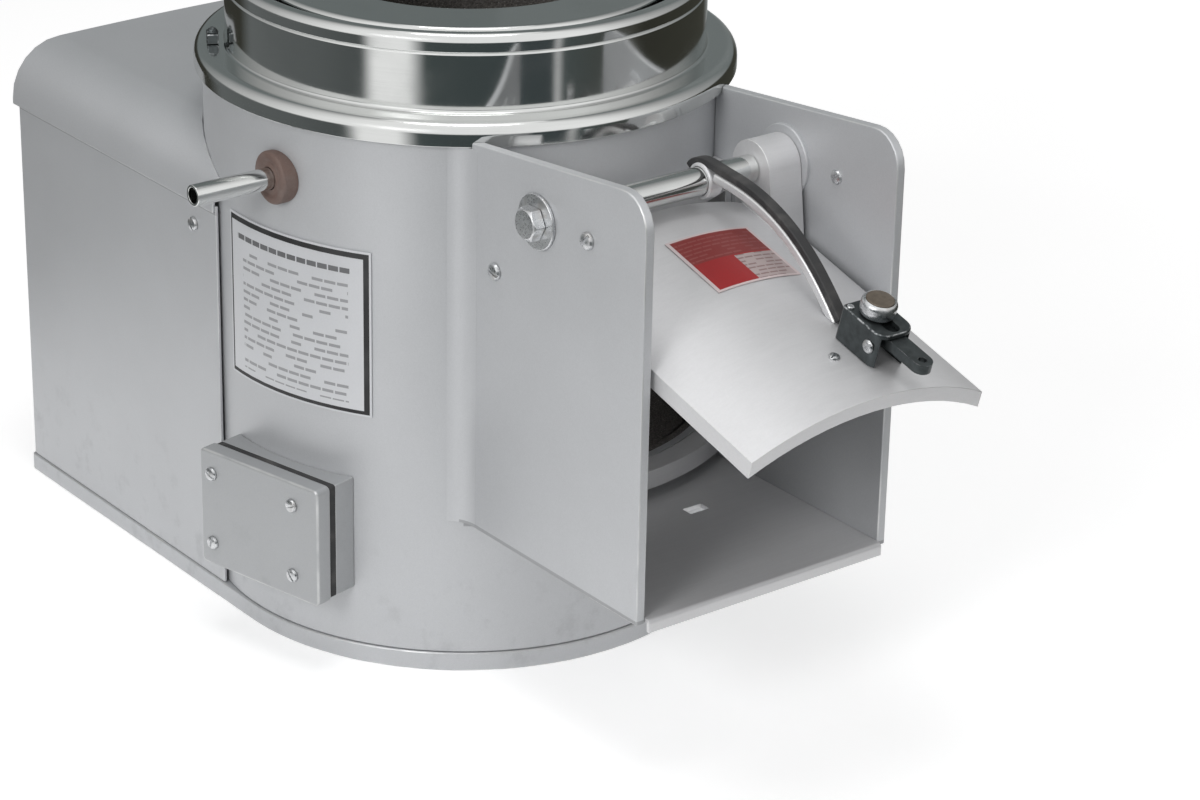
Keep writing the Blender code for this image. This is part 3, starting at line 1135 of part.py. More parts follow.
def make_latch(hinge, bolt_slide):
    """A sliding bolt in a bracket on the door, with a round knob, that drops into the chute floor."""
    slot_low = BOLT_CENTRE_RISE - BOLT_THICKNESS / 2 - SEAT_GAP
    slot_high = BOLT_CENTRE_RISE + BOLT_THICKNESS / 2 + SEAT_GAP
    roof = slot_high + BRACKET_ROOF
    low_x = LATCH_X - BRACKET_WIDTH / 2
    high_x = LATCH_X + BRACKET_WIDTH / 2
    bracket_end = BRACKET_START + BRACKET_LENGTH
    low = (low_x, -roof, -bracket_end)
    high = (high_x, DOOR_SET_BACK + DOOR_WALL, -BRACKET_START)
    bracket = block("latch_bracket", low, high, "dark_steel", hinge)
    door_face = DOOR_OUTER + SEAT_GAP
    combine(bracket, drum_cutter("bracket_door_cut", door_face, -DOOR_HEIGHT, 0, hinge, -HINGE_Y))
    slot_half = BOLT_WIDTH / 2 + SEAT_GAP
    slot = block("bolt_slot", (LATCH_X - slot_half, -slot_high, -bracket_end - CUT_OVERRUN),
                 (LATCH_X + slot_half, -slot_low, -BRACKET_START + CUT_OVERRUN), None, hinge)
    combine(bracket, slot)
    stem_half = KNOB_STEM_RADIUS + KNOB_SLOT_GAP
    run_low = -KNOB_PLACE - BOLT_TRAVEL - stem_half
    run = block("knob_slot", (LATCH_X - stem_half, -roof - CUT_OVERRUN, run_low),
                (LATCH_X + stem_half, -slot_low, -KNOB_PLACE + stem_half), None, hinge)
    combine(bracket, run)

    half = BOLT_WIDTH / 2
    bolt_low = BOLT_CENTRE_RISE - BOLT_THICKNESS / 2
    bolt_high = BOLT_CENTRE_RISE + BOLT_THICKNESS / 2
    block("latch_bolt", (LATCH_X - half, -bolt_high, -BOLT_TIP), (LATCH_X + half, -bolt_low, -BOLT_TAIL),
          "zinc_steel", bolt_slide)
    seat = along((0, -1, 0), (LATCH_X, -bolt_high - SEAT_GAP, -KNOB_PLACE))
    knob_low = roof - bolt_high
    knob_top = knob_low + KNOB_HEIGHT
    knob = [(0, 0), (KNOB_STEM_RADIUS, 0), (KNOB_STEM_RADIUS, knob_low), (KNOB_RADIUS, knob_low)]
    knob += [(KNOB_RADIUS, knob_top - KNOB_ROUNDING), (KNOB_RADIUS - KNOB_ROUNDING, knob_top)]
    knob.append((0, knob_top))
    turned("latch_knob", knob, "zinc_steel", ROD_SEGMENTS, seat, bolt_slide)


def make_junction_box():
    """A cast box on the drum wall, with a gasketed cover.  Its own frame has +X outward."""
    frame = bpy.data.objects.new("junction_box_frame", None)
    bpy.context.collection.objects.link(frame)
    frame.rotation_euler.z = JUNCTION_ANGLE
    low_z = JUNCTION_CENTRE_Z - JUNCTION_HALF_HEIGHT
    high_z = JUNCTION_CENTRE_Z + JUNCTION_HALF_HEIGHT
    half = JUNCTION_HALF_WIDTH
    cover_back = JUNCTION_FACE - JUNCTION_COVER
    low = (cover_back, -half, low_z)
    cover = block("junction_cover", low, (JUNCTION_FACE, half, high_z), "silver_paint", frame)
    soften(cover, JUNCTION_ROUNDING / 2, 2)
    inset = JUNCTION_BODY_INSET
    gasket_face = cover_back - SEAT_GAP
    gasket_back = gasket_face - JUNCTION_GASKET
    inner = half - inset - JUNCTION_WALL
    gasket = block("junction_gasket", (gasket_back, inset - half, low_z + inset),
                   (gasket_face, half - inset, high_z - inset), "black_rubber", frame)
    wall = inset + JUNCTION_WALL
    window = block("junction_window", (gasket_back - CUT_OVERRUN, -inner, low_z + wall),
                   (gasket_face + CUT_OVERRUN, inner, high_z - wall), None, frame)
    combine(gasket, window)
    body_face = gasket_back - SEAT_GAP
    body = block("junction_box", (DRUM_RADIUS / 2, inset - half, low_z + inset),
                 (body_face, half - inset, high_z - inset), "silver_paint", frame)
    combine(body, drum_cutter("junction_drum_cut", DRUM_RADIUS + SEAT_GAP, low_z, high_z, frame))
    hollow_back = DRUM_RADIUS + SEAT_GAP + JUNCTION_BACK
    hollow = block("junction_hollow", (hollow_back, -inner, low_z + wall),
                   (body_face + CUT_OVERRUN, inner, high_z - wall), None, frame)
    combine(body, hollow)

    profile = head_profile(JUNCTION_SCREW_RADIUS, JUNCTION_SCREW_HEIGHT, JUNCTION_SCREW_HEIGHT / 2)
    for side_name, across in (("left", -JUNCTION_SCREW_LEFT), ("right", JUNCTION_SCREW_RIGHT)):
        for row_name, rise in (("lower", -JUNCTION_SCREW_RISE), ("upper", JUNCTION_SCREW_RISE)):
            seat = (JUNCTION_FACE + SEAT_GAP, across, JUNCTION_CENTRE_Z + rise)
            name = "junction_screw_" + side_name + "_" + row_name
            turned(name, profile, "zinc_steel", SCREW_SEGMENTS, along((1, 0, 0), seat), frame)


def make_pipes():
    """The water inlet on one side and the drain for peel and water on the other."""
    inner_end = LINER_BORE - INLET_INNER_REACH
    place = along((-1, 0, 0), (0, INLET_Y, INLET_Z))
    turned("inlet_pipe", tube_profile(INLET_RADIUS, INLET_BORE, inner_end, INLET_TIP), "polished_steel",
           ROD_SEGMENTS, place)
    bore = INLET_RADIUS + SEAT_GAP
    collar = tube_profile(GROMMET_RADIUS, bore, LINER_BORE, GROMMET_FACE)
    grommet = turned("inlet_grommet", collar, "brown_rubber", ROD_SEGMENTS, place)
    low = INLET_Z - GROMMET_RADIUS
    high = INLET_Z + GROMMET_RADIUS
    combine(grommet, drum_cutter("grommet_drum_cut", DRUM_RADIUS + SEAT_GAP, low, high))

    place = along((1, 0, 0), (0, DRAIN_Y, DRAIN_Z))
    profile = tube_profile(DRAIN_RADIUS, DRAIN_BORE, DRUM_RADIUS / 2, DRUM_RADIUS + DRAIN_REACH)
    drain = turned("drain_spout", profile, "satin_aluminium", WHEEL_SEGMENTS // 2, place)
    low = DRAIN_Z - DRAIN_RADIUS
    combine(drain, drum_cutter("drain_trim", LINER_BORE, low, DRAIN_Z + DRAIN_RADIUS))


def make_instruction_plate():
    face = DRUM_RADIUS + SEAT_GAP
    outer = arc((0, 0), face + PLATE_THICKNESS, PLATE_START_ANGLE, PLATE_END_ANGLE, PLATE_STEPS)
    inner = arc((0, 0), face, PLATE_END_ANGLE, PLATE_START_ANGLE, PLATE_STEPS)
    low = JUNCTION_CENTRE_Z + JUNCTION_HALF_HEIGHT + PLATE_JUNCTION_GAP
    prism_z("instruction_plate", outer + inner, low, DRUM_TOP_Z - PLATE_TOP_DROP, "printed_plate")


def add_axis(name, place, parent=None):
    """An empty on a joint's axis, which carries the pieces that move about it."""
    axis = bpy.data.objects.new(name, None)
    bpy.context.collection.objects.link(axis)
    axis.location = place
    axis.parent = parent
    return axis


def main():
    clear_scene()
    define_materials()
    hinge = add_axis("door_hinge_axis", (0, HINGE_Y, HINGE_Z))
    hinge.rotation_euler.x = -DOOR_OPEN_ANGLE
    bolt_slide = add_axis("latch_slide_axis", (0, 0, 0), hinge)
    axle = add_axis("disc_axis", (0, 0, 0))
    rotor = add_axis("motor_axis", (0, MOTOR_Y, 0))
    make_base()
    make_drum()
    make_drum_floor()
    make_bearings()
    make_disc(axle)
    make_belt()
    make_motor(rotor)
    make_motor_housing()
    make_collar()
    make_chute()
    make_hinge(hinge)
    make_door(hinge)
    make_handle(hinge)
    make_latch(hinge, bolt_slide)
    make_junction_box()
    make_pipes()
    make_instruction_plate()


main()
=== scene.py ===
"""Countertop potato peeler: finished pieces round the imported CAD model.

Every piece is made in the model's own frame: metres, +Z up, the origin on the drum's axis on the
surface that the base stands on. The chute faces -Y, the motor housing +Y, and the water inlet and
junction box -X. The handle, the latch and what is fixed to the door are modelled shut, in the
hinge's frame, and then swung open. An outline is a list of (across, up, rounding) corners, and the
size of a screw's head is its radius and height.
"""

import json
import math

import bmesh
import bpy
from bpy.props import FloatProperty, FloatVectorProperty, PointerProperty
from mathutils import Matrix, Vector
from mathutils.geometry import interpolate_bezier

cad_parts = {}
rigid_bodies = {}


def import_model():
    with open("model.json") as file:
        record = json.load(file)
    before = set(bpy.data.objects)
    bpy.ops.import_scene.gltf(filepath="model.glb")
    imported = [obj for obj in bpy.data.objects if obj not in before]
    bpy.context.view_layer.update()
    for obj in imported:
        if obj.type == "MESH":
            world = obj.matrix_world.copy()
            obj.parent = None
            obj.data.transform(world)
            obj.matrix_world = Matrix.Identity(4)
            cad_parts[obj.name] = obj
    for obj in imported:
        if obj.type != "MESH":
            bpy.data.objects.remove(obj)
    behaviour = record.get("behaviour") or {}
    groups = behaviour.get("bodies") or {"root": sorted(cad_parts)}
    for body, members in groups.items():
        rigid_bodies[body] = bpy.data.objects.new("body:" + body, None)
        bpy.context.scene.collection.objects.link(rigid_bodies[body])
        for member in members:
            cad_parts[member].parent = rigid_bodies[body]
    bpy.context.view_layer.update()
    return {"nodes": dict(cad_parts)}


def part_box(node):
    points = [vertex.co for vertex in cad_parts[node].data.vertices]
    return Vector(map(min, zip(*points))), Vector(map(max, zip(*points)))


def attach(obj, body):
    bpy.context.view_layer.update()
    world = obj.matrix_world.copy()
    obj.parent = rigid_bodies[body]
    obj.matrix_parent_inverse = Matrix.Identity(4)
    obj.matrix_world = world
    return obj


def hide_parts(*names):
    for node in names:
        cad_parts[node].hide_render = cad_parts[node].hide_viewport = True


bl_info = {
    "name": "Countertop potato peeler",
    "version": (1, 0, 0),
    "blender": (4, 5, 0),
    "location": "3D View > Sidebar > Peeler",
    "description": "Finished pieces, studio and camera for a countertop potato peeler",
    "category": "Object",
}

for item in list(bpy.data.objects):
    bpy.data.objects.remove(item, do_unlink=True)
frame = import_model()

# The place of a shape that stays where it is drawn
AS_DRAWN = Matrix()

# Clearances and fineness
SEAT_GAP = 0.0003
MERGE_DISTANCE = 0.000004
NODE_MERGE_DISTANCE = 0.00001
CUT_OVERRUN = 0.004
FLAT_ANGLE = math.radians(0.6)
SHARP_ANGLE = math.radians(50)
ROUND_FROM_ANGLE = math.radians(38)
HEX_ROUND_FROM_ANGLE = math.radians(20)
DRUM_STEPS = 144
WHEEL_STEPS = 64
ROD_STEPS = 40
SCREW_STEPS = 28
ROUND_STEPS = 6
EDGE_STEPS = 3
LARGE_ROUNDING = 0.05

# Roundings of corners and edges, from keen to full
KEEN = 0.0003
CRISP = 0.0004
NEAT = 0.0005
FINE = 0.0006
THIN = 0.0007
SOFT = 0.0008
EASED = 0.001
WIDE = 0.0012
BROAD = 0.0015
ROUND = 0.0016
BENT = 0.002

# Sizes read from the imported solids
base_low, base_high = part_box("base_plate")
drum_low, drum_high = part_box("drum_shell")
liner_low, liner_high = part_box("drum_liner")
collar_low, collar_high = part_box("hopper_collar")
ring_low, ring_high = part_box("splash_ring")
housing_low, housing_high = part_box("motor_housing")
cover_low, cover_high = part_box("motor_cover")
cheek_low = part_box("chute_cheek_right")[0]
tray_low, tray_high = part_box("chute_floor")
disc_low, disc_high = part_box("disc_plate")
grit_low, grit_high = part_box("abrasive_disc")
nut_low, nut_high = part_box("disc_nut")
inlet_low, inlet_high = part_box("inlet_pipe")
grommet_low, grommet_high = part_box("inlet_grommet")
drain_low, drain_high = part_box("drain_spout")
plate_low, plate_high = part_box("instruction_plate")
lid_low, lid_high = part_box("junction_cover")

# Drum and base
BASE_CORNER = 0.0025
DRUM_RADIUS = drum_high.x
DRUM_BORE = DRUM_RADIUS - 0.005
DRUM_LEDGE_TOP = 0.0697
DRUM_LEDGE_BOTTOM = 0.0637
DRUM_LEDGE_FOOT = 0.0567
DRUM_LEDGE_BORE = 0.148
LINER_BORE = 0.1503
OPENING_LOW = (-0.078, -0.180, 0.122)
OPENING_HIGH = (0.078, -0.050, 0.282)
BELT_SLOT_LOW = (-0.0695, 0.050, 0)
BELT_SLOT_HIGH = (0.0695, 0.170, 0.052)
PIPE_HOLE_REACH = (0.10, 0.17)

# Collar and splash ring
COLLAR_RADIUS = collar_high.x
COLLAR_SHEET = 0.002
COLLAR_BAND_RADIUS = 0.146
COLLAR_SHOULDER_Z = 0.351
COLLAR_SHOULDER_ROUNDING = 0.0075
COLLAR_FILLET = 0.0022
COLLAR_BEAD = 0.0055
COLLAR_GROOVE = 0.0007
COLLAR_GROOVE_HALF = 0.0004
COLLAR_LEDGE_RADIUS = 0.128
COLLAR_LEDGE_Z = 0.349
COLLAR_BASE_Z = 0.3465
RING_FOOT_RADIUS = 0.1335
RING_WALL_RADIUS = 0.1275
RING_MOUTH_RADIUS = 0.089
RING_SHEET = 0.002
RING_LIP = 0.010
RING_SHOULDER = 0.004
CLIP_ROUNDING = 0.0011

# Motor housing and cover
HOUSING_SHEET = 0.002
HOUSING_CORNER = 0.003
COVER_CORNER = 0.036
COVER_RISE = 0.002
COVER_SHEET = 0.002
COVER_DRUM_GAP = 0.0008
COVER_COLUMNS = 96
# Depth of the painted shade on the housing just under the lid's edge
PAINTED_SEAM_SHADE_DEPTH = 0.0022

# Chute
CHUTE_BACK_Y = -0.080
CHEEK_INNER_X = 0.087
CHEEK_OUTER_X = 0.093
CHEEK_ROUNDING = 0.0013
CHEEK_CORNER = 0.023
CHEEK_FRONT_Z = drum_high.z + 0.0106
CHEEK_BACK_Z = 0.3343
CHEEK_BOSS_RADIUS = 0.022
CHEEK_BOSS_HEIGHT = 0.002
BOSS_BITE = 0.001
CHUTE_SCREW_PLACE = (-0.246, 0.3155)
CHUTE_STUD = (0.0044, 0.0022)
WELD_REACH = 0.011
WELD_BITE = 0.001
WELD_SKIN = 0.00005
# Height and back limit of the painted shade along the cheeks' lower edges
PAINTED_FOOT_SHADE_DEPTH = 0.0028
PAINTED_FOOT_SHADE_BACK_Y = -0.130
TRAY_SHEET = 0.0025
TRAY_BEND = 0.0024
KEEPER_LOW = (0.020, -0.205)
KEEPER_HIGH = (0.034, -0.197)

# Hinge and door, in the hinge's frame
HINGE_Y = -0.200
HINGE_Z = 0.3125
DOOR_PLACE = Matrix.Translation((0, HINGE_Y, HINGE_Z)) @ Matrix.Rotation(math.radians(-75), 4, "X")
DOOR_ARC_Y = -HINGE_Y
DOOR_OUTER = 0.186
DOOR_HEIGHT = 0.1955
DOOR_EDGE_ROUNDING = 0.0009
DOOR_SCREW = (0.0034, 0.0018)
DOOR_SCREW_DOWN = 0.156
HINGE_ROD_RADIUS = 0.005
HINGE_TUBE_RADIUS = 0.0085
HINGE_TUBE_HALF = 0.0604
PIVOT_HEAD_RADIUS = 0.0105
PIVOT_HEAD_LOW = 0.0956
PIVOT_HEAD_HIGH = 0.1031
PIVOT_HEAD_BITE = 0.0001
PIVOT_WASHER_RADIUS = 0.0165
PIVOT_WASHER_LOW = 0.0933
PIVOT_WASHER_HIGH = 0.0953
LABEL_LEFT = -0.0215
LABEL_RIGHT = 0.0395
LABEL_START = 0.029
LABEL_END = 0.080
LABEL_LIFT = 0.0003
LABEL_THICKNESS = 0.0004

# Handle and latch, in the hinge's frame
LATCH_X = 0.027
HANDLE_WIDTH = 0.0078
HANDLE_THICKNESS = 0.006
HANDLE_HUB_RADIUS = 0.0108
HANDLE_HUB_SIDE = 0.001
HANDLE_STEPS = 48
HANDLE_ROUNDING = 0.0018
GRIP_WIDTH = 0.0072
GRIP_THICKNESS = 0.0045
GRIP_ROUNDING = 0.0014
GRIP_CURVE = ((-0.0168, 0.0023), (-0.0023, 0.0101), (0.0635, 0.0401), (0.1310, -0.0129))
GRIP_WRAP_END = 0.006
GRIP_SMOOTHING = 10
BRACKET_START = 0.1395
BRACKET_END = 0.1745
BRACKET_HALF = 0.013
BRACKET_TOP = 0.0073
BRACKET_WALL = 0.0026
BRACKET_DEEP = 0.020
BRACKET_NOSE = 0.008
BRACKET_HEEL = 0.003
BRACKET_RIVET = (0.0022, 0.0011)
BRACKET_RIVET_INSET = 0.0032
BRACKET_RIVET_DOWN = 0.0040
BRACKET_SCREW = (0.0040, 0.0018)
BRACKET_SCREW_DOWN = 0.1665
BRACKET_SCREW_DEEP = 0.003
BOLT_LOW = -0.002
BOLT_HIGH = 0.004
BOLT_HALF = 0.006
BOLT_TAIL = 0.1465
BOLT_TIP = 0.2015
BOLT_EYE_RADIUS = 0.0025
KNOB_PLACE = 0.1545
KNOB_RADIUS = 0.0105
KNOB_STEM_RADIUS = 0.0035
KNOB_STEM_GAP = 0.0008
KNOB_BOTTOM = 0.0079
KNOB_TOP = 0.0183
KNOB_FLARE = 0.0034
KNOB_SHOULDER = 0.0022
KNOB_RIM = 0.0006
KNOB_DISH = 0.0014
BUTTON_GAP = 0.0001
BUTTON_EDGE = 0.0009
KNOB_TRAVEL = 0.0135

# Disc, pipes and plate
DISC_BORE = 0.0063
GRIT_BORE = 0.022
GRIT_BODY = 0.0057
GRIT_WAVE = 0.0019
GRIT_WAVES = 3
GRIT_STEPS = 96
GRIT_RINGS = 14
GRIT_SPOKE_LENGTH = 0.05
NUT_FLUTES = 8
NUT_FLUTE_RADIUS = 0.0024
NUT_FLUTE_OFFSET = 0.0008
NUT_FLUTE_DROP = 0.0035
NUT_SLOPE_DROP = 0.004
NUT_SLOPE_RUN = 0.006
NUT_SLOPE_ROUNDING = 0.003
NUT_CROWN = 0.0057
INLET_BORE = 0.0048
GROMMET_BEVEL = 0.0035
GROMMET_DEEP = 0.004
GROMMET_RIM = 0.0005
GROMMET_DISH = 0.0008
GROMMET_LIP = 0.0002
DRAIN_WALL = 0.0025
DRAIN_ROOT = 0.080
PLATE_START = math.radians(174)
PLATE_END = math.radians(214.7)
PLATE_ROUNDING = 0.00015

# Junction box, in its own frame with +X outward
JUNCTION_PLACE = Matrix.Rotation(math.radians(193), 4, "Z")
JUNCTION_HALF = 0.049
JUNCTION_FACE = 0.186
JUNCTION_LID_DEPTH = 0.0115
JUNCTION_LID_CORNER = 0.0035
# The black seal is deeper than the real gasket, and its extra depth is a dark band standing for
# shade in the seam
JUNCTION_SEAL_AND_SHADE_DEPTH = 0.0052
JUNCTION_WALL = 0.0025
JUNCTION_SCREW = (0.0042, 0.0022)
JUNCTION_SCREW_RISE = 0.023

# Studio
CAMERA_AZIMUTH = math.radians(-37.9)
CAMERA_ELEVATION = math.radians(23.6)
CAMERA_ROLL = math.radians(1.2)
CAMERA_PLACE = Vector((-1.2269, -1.7160, 1.0316))
CAMERA_LENS = 108.8
CAMERA_SENSOR = 36.0
WORLD_LIGHT = 0.44
FLOOR_REACH = 8.0
FLOOR_GLOW = 0.38
LAMP_AIM = Vector((0, 0, 0.2))
# name, place, width, height and watts
LAMPS = (
    ("key_softbox", (-2.3, -1.1, 1.5), 0.9, 0.9, 28.0),
    ("top_softbox", (-0.3, -0.3, 2.4), 0.9, 0.9, 11.0),
    ("front_softbox", (0.6, -2.6, 1.2), 1.2, 1.2, 6.0),
    ("rim_softbox", (1.9, 0.9, 1.4), 0.9, 1.4, 5.0),
)
SURROUND_RADIUS = 0.60
SURROUND_LOW = 0.004
SURROUND_TOP = 0.95
SURROUND_MOUTH = 0.26
SURROUND_LEAN = 0.22
SURROUND_SPLIT = 0.34
SURROUND_BLEND = 0.06
# Tones of the surround by bearing: 0 behind, 0.25 left, 0.5 at the camera, 0.75 right
LOW_STREAKS = (
    (0.000, (0.06, 0.06, 0.055)), (0.070, (0.035, 0.035, 0.03)), (0.170, (0.04, 0.04, 0.032)),
    (0.200, (0.14, 0.15, 0.15)), (0.330, (0.11, 0.12, 0.12)), (0.385, (0.08, 0.09, 0.09)),
    (0.400, (1.0, 1.0, 1.0)), (0.440, (1.0, 1.0, 1.0)), (0.460, (0.06, 0.075, 0.075)),
    (0.606, (0.05, 0.062, 0.065)), (0.612, (0.60, 0.60, 0.60)), (0.620, (0.07, 0.085, 0.085)),
    (0.715, (0.06, 0.06, 0.05)), (0.730, (0.035, 0.035, 0.028)), (0.900, (0.05, 0.05, 0.04)),
    (0.950, (0.35, 0.37, 0.37)),
)
HIGH_STREAKS = (
    (0.000, (0.16, 0.18, 0.18)), (0.140, (0.18, 0.20, 0.20)), (0.240, (0.55, 0.55, 0.55)),
    (0.360, (1.0, 1.0, 1.0)), (0.660, (1.0, 1.0, 1.0)), (0.760, (0.50, 0.50, 0.50)),
    (0.860, (0.18, 0.20, 0.20)),
)

# Sockets of the colour Mix node, which share their names with its other types
MIX_COLOURS = (6, 7)
MIX_RESULT = 2
WHITE = (1, 1, 1, 1)
FINISHES = {}


class Signal:
    """An output socket of a finish; arithmetic on it adds the finish's Math nodes."""

    def __init__(self, tree, socket=None):
        self.tree = tree
        self.socket = socket

    def node(self, kind, settings=None, inputs=None, output=0):
        """Add a node: its type, then its settings, then the values or links of its sockets."""
        made = self.tree.nodes.new("ShaderNode" + kind)
        for name, value in (settings or {}).items():
            if name == "stops":
                set_stops(made.color_ramp, value)
            else:
                setattr(made, name, value)
        for key, value in (inputs or {}).items():
            if isinstance(value, Signal):
                self.tree.links.new(made.inputs[key], value.socket)
            else:
                made.inputs[key].default_value = value
        return Signal(self.tree, made.outputs[output]) if made.outputs else None

    def calculate(self, operation, *values):
        return self.node("Math", {"operation": operation}, dict(enumerate(values)))

    def axis(self, name):
        return self.node("SeparateXYZ", inputs={"Vector": self}, output=name)

    def largest(self, other):
        return self.calculate("MAXIMUM", self, other)

    def above(self, limit):
        return self.calculate("GREATER_THAN", self, limit)

    def below(self, limit):
        return self.calculate("LESS_THAN", self, limit)

    def __add__(self, other):
        return self.calculate("ADD", self, other)

    def __radd__(self, other):
        return self.calculate("ADD", other, self)

    def __sub__(self, other):
        return self.calculate("SUBTRACT", self, other)

    def __rsub__(self, other):
        return self.calculate("SUBTRACT", other, self)

    def __mul__(self, other):
        return self.calculate("MULTIPLY", self, other)

    def __rmul__(self, other):
        return self.calculate("MULTIPLY", other, self)


def set_stops(ramp, stops):
    """Fill a colour ramp from (place, colour) stops."""
    while len(ramp.elements) < len(stops):
        ramp.elements.new(1.0)
    for element, (place, colour) in zip(ramp.elements, stops):
        element.position = place
        element.color = (*colour, 1.0)


def between(value, low, high):
    """1 where a value lies between two limits, else 0."""
    return value.above(low) * value.below(high)


def noise(spot, scale, detail=2.0, roughness=0.5):
    """Grey noise with features of about 1 / scale metres."""
    inputs = {"Vector": spot, "Scale": scale, "Detail": detail, "Roughness": roughness}
    return spot.node("TexNoise", inputs=inputs)


def drawn_noise(spot, scale, detail):
    """Grey noise squeezed or drawn out along each axis."""
    return noise(spot.node("Mapping", inputs={"Vector": spot, "Scale": scale}), 1.0, detail)


def cells(spot, scale):
    """Distance from the middle of the nearest crystal or grain."""
    return spot.node("TexVoronoi", inputs={"Vector": spot, "Scale": scale}, output="Distance")


def masked(value, low, high):
    """0 below the low limit, 1 above the high one, and a smooth slope between."""
    settings = {"interpolation_type": "SMOOTHSTEP"}
    return value.node("MapRange", settings, {"Value": value, "From Min": low, "From Max": high})


def blend_colour(factor, first, second):
    """Mix two colours, each a colour or a socket."""
    inputs = {"Factor": factor}
    for socket, colour in zip(MIX_COLOURS, (first, second)):
        inputs[socket] = colour if isinstance(colour, Signal) else (*colour, 1.0)
    return factor.node("Mix", {"data_type": "RGBA"}, inputs, MIX_RESULT)


def mottled(factor, colour, dark, light):
    """A colour that runs from a darker to a lighter shade of itself."""
    shades = (tuple(channel * share for channel in colour) for share in (dark, light))
    return blend_colour(factor, *shades)


def worn_edges(spot):
    """1 along the rounded edges of a piece, as rounded() marks them."""
    return spot.node("Attribute", {"attribute_name": "worn"}, output="Fac")


def new_finish(name):
    """An empty finish, and the place on the piece that its nodes start from."""
    material = bpy.data.materials.new(name)
    material.use_nodes = True
    material.node_tree.nodes.clear()
    FINISHES[name] = material
    return Signal(material.node_tree).node("TexCoord", output="Object")


def complete(colour, roughness, metallic, bump, strength, distance):
    """Put a finish's signals on one shader."""
    raised = {"Strength": strength, "Distance": distance, "Height": bump}
    inputs = {"Base Color": colour, "Roughness": roughness, "Metallic": metallic,
              "Normal": bump.node("Bump", inputs=raised)}
    shader = bump.node("BsdfPrincipled", inputs=inputs)
    bump.node("OutputMaterial", inputs={"Surface": shader})


def make_silver_paint(name, colour):
    """Sprayed silver paint: flake, faint clouding, dirt low down, rubbed edges that double as a
    painted highlight, and painted shade under the lid and the cheeks.
    """
    spot = new_finish(name)
    flake = noise(spot, 1500, 1.0)
    grain = noise(spot, 620)
    cloud = noise(spot, 14, 3.0)
    # Rubbed edges: paint worn to bare metal, kept as an unbroken light line that is also a painted
    # highlight
    rubbed_and_highlit = worn_edges(spot) * masked(noise(spot, 42), 0.30, 0.70)
    height, back = spot.axis("Z"), spot.axis("Y")
    # Painted shade: a dark line on the housing just under the lid's edge
    painted_seam_shade = between(height, cover_low.z - PAINTED_SEAM_SHADE_DEPTH, cover_low.z) * back.above(cover_low.y)
    # Painted shade: a dark line along the cheeks' lower edges and on the drum just under them
    foot = between(height, cheek_low.z - PAINTED_FOOT_SHADE_DEPTH, cheek_low.z + PAINTED_FOOT_SHADE_DEPTH)
    foot = foot * back.below(PAINTED_FOOT_SHADE_BACK_Y)
    dirt = masked(noise(spot, 55, 5.0, 0.65), 0.52, 0.72) * (1 - masked(height, 0.01, 0.14))
    # The paint darkens with dirt low down and with the painted shade of the seam and the feet
    dirt_and_painted_shade = (dirt * 0.6).largest((painted_seam_shade + foot) * 1.8)
    paint = mottled(flake * 0.45 + grain * 0.25 + cloud * 0.45 - 0.08, colour, 0.86, 1.12)
    paint = blend_colour(dirt_and_painted_shade * 0.35, paint, tuple(channel * 0.55 for channel in colour))
    paint = blend_colour(rubbed_and_highlit * 0.7, paint, (0.80, 0.80, 0.79))
    roughness = 0.40 + grain * 0.10 + dirt_and_painted_shade * 0.12 - rubbed_and_highlit * 0.08
    complete(paint, roughness, 0.42 + rubbed_and_highlit * 0.35, flake * 0.6 + grain, 0.22, 0.00025)


def make_satin_aluminium(name, colour):
    """Rolled aluminium, bead-blasted: soft grain with long faint marks and handling scratches."""
    spot = new_finish(name)
    grain = noise(spot, 900)
    rolled = drawn_noise(spot, (26, 420, 420), 2.0)
    cloud = noise(spot, 22, 3.0)
    scratch = masked(drawn_noise(spot, (60, 1400, 1400), 1.0), 0.66, 0.72)
    worn = worn_edges(spot)
    metal = mottled(rolled * 0.4 + cloud * 0.4 + grain * 0.3 - 0.05, colour, 0.88, 1.10)
    metal = blend_colour(worn * 0.5, metal, (0.86, 0.86, 0.85))
    roughness = 0.40 + rolled * 0.12 - scratch * 0.10 - worn * 0.10
    marks = grain * 0.5 + rolled * 0.5 - scratch * 0.4
    complete(metal, roughness, 0.40 + worn * 0.25, marks, 0.16, 0.0002)


def make_polished_steel(name, colour):
    """Spun stainless steel: fine rings from the polishing wheel, with smudges."""
    spot = new_finish(name)
    rings = drawn_noise(spot, (18, 18, 2600), 2.0)
    smudge = masked(noise(spot, 26, 4.0), 0.45, 0.75)
    metal = mottled(rings * 0.5 + smudge * 0.4, colour, 1.04, 0.88)
    marks = rings * 0.6 + noise(spot, 320) * 0.2
    complete(metal, 0.07 + rings * 0.05 + smudge * 0.07, 1.0, marks, 0.05, 0.0001)


def make_zinc_steel(name, colour):
    """Zinc plate on fasteners: a crystalline shimmer and dull patches."""
    spot = new_finish(name)
    patch = noise(spot, 160, 3.0)
    dull = masked(noise(spot, 90, 4.0), 0.55, 0.7)
    metal = blend_colour(dull * 0.5, mottled(patch, colour, 0.82, 1.15), (0.38, 0.36, 0.33))
    roughness = 0.22 + cells(spot, 700.0) * 0.16 + dull * 0.16
    complete(metal, roughness, 1.0, patch, 0.08, 0.0001)


def make_dark_steel(name, colour):
    """Oiled black steel, worn brighter along its edges."""
    spot = new_finish(name)
    patch = noise(spot, 240, 4.0)
    bare = worn_edges(spot) * masked(noise(spot, 300, 3.0), 0.42, 0.60)
    metal = blend_colour(bare, mottled(patch, colour, 0.6, 1.7), (0.42, 0.43, 0.44))
    complete(metal, 0.30 + patch * 0.14 - bare * 0.10, 0.85, patch, 0.18, 0.0002)


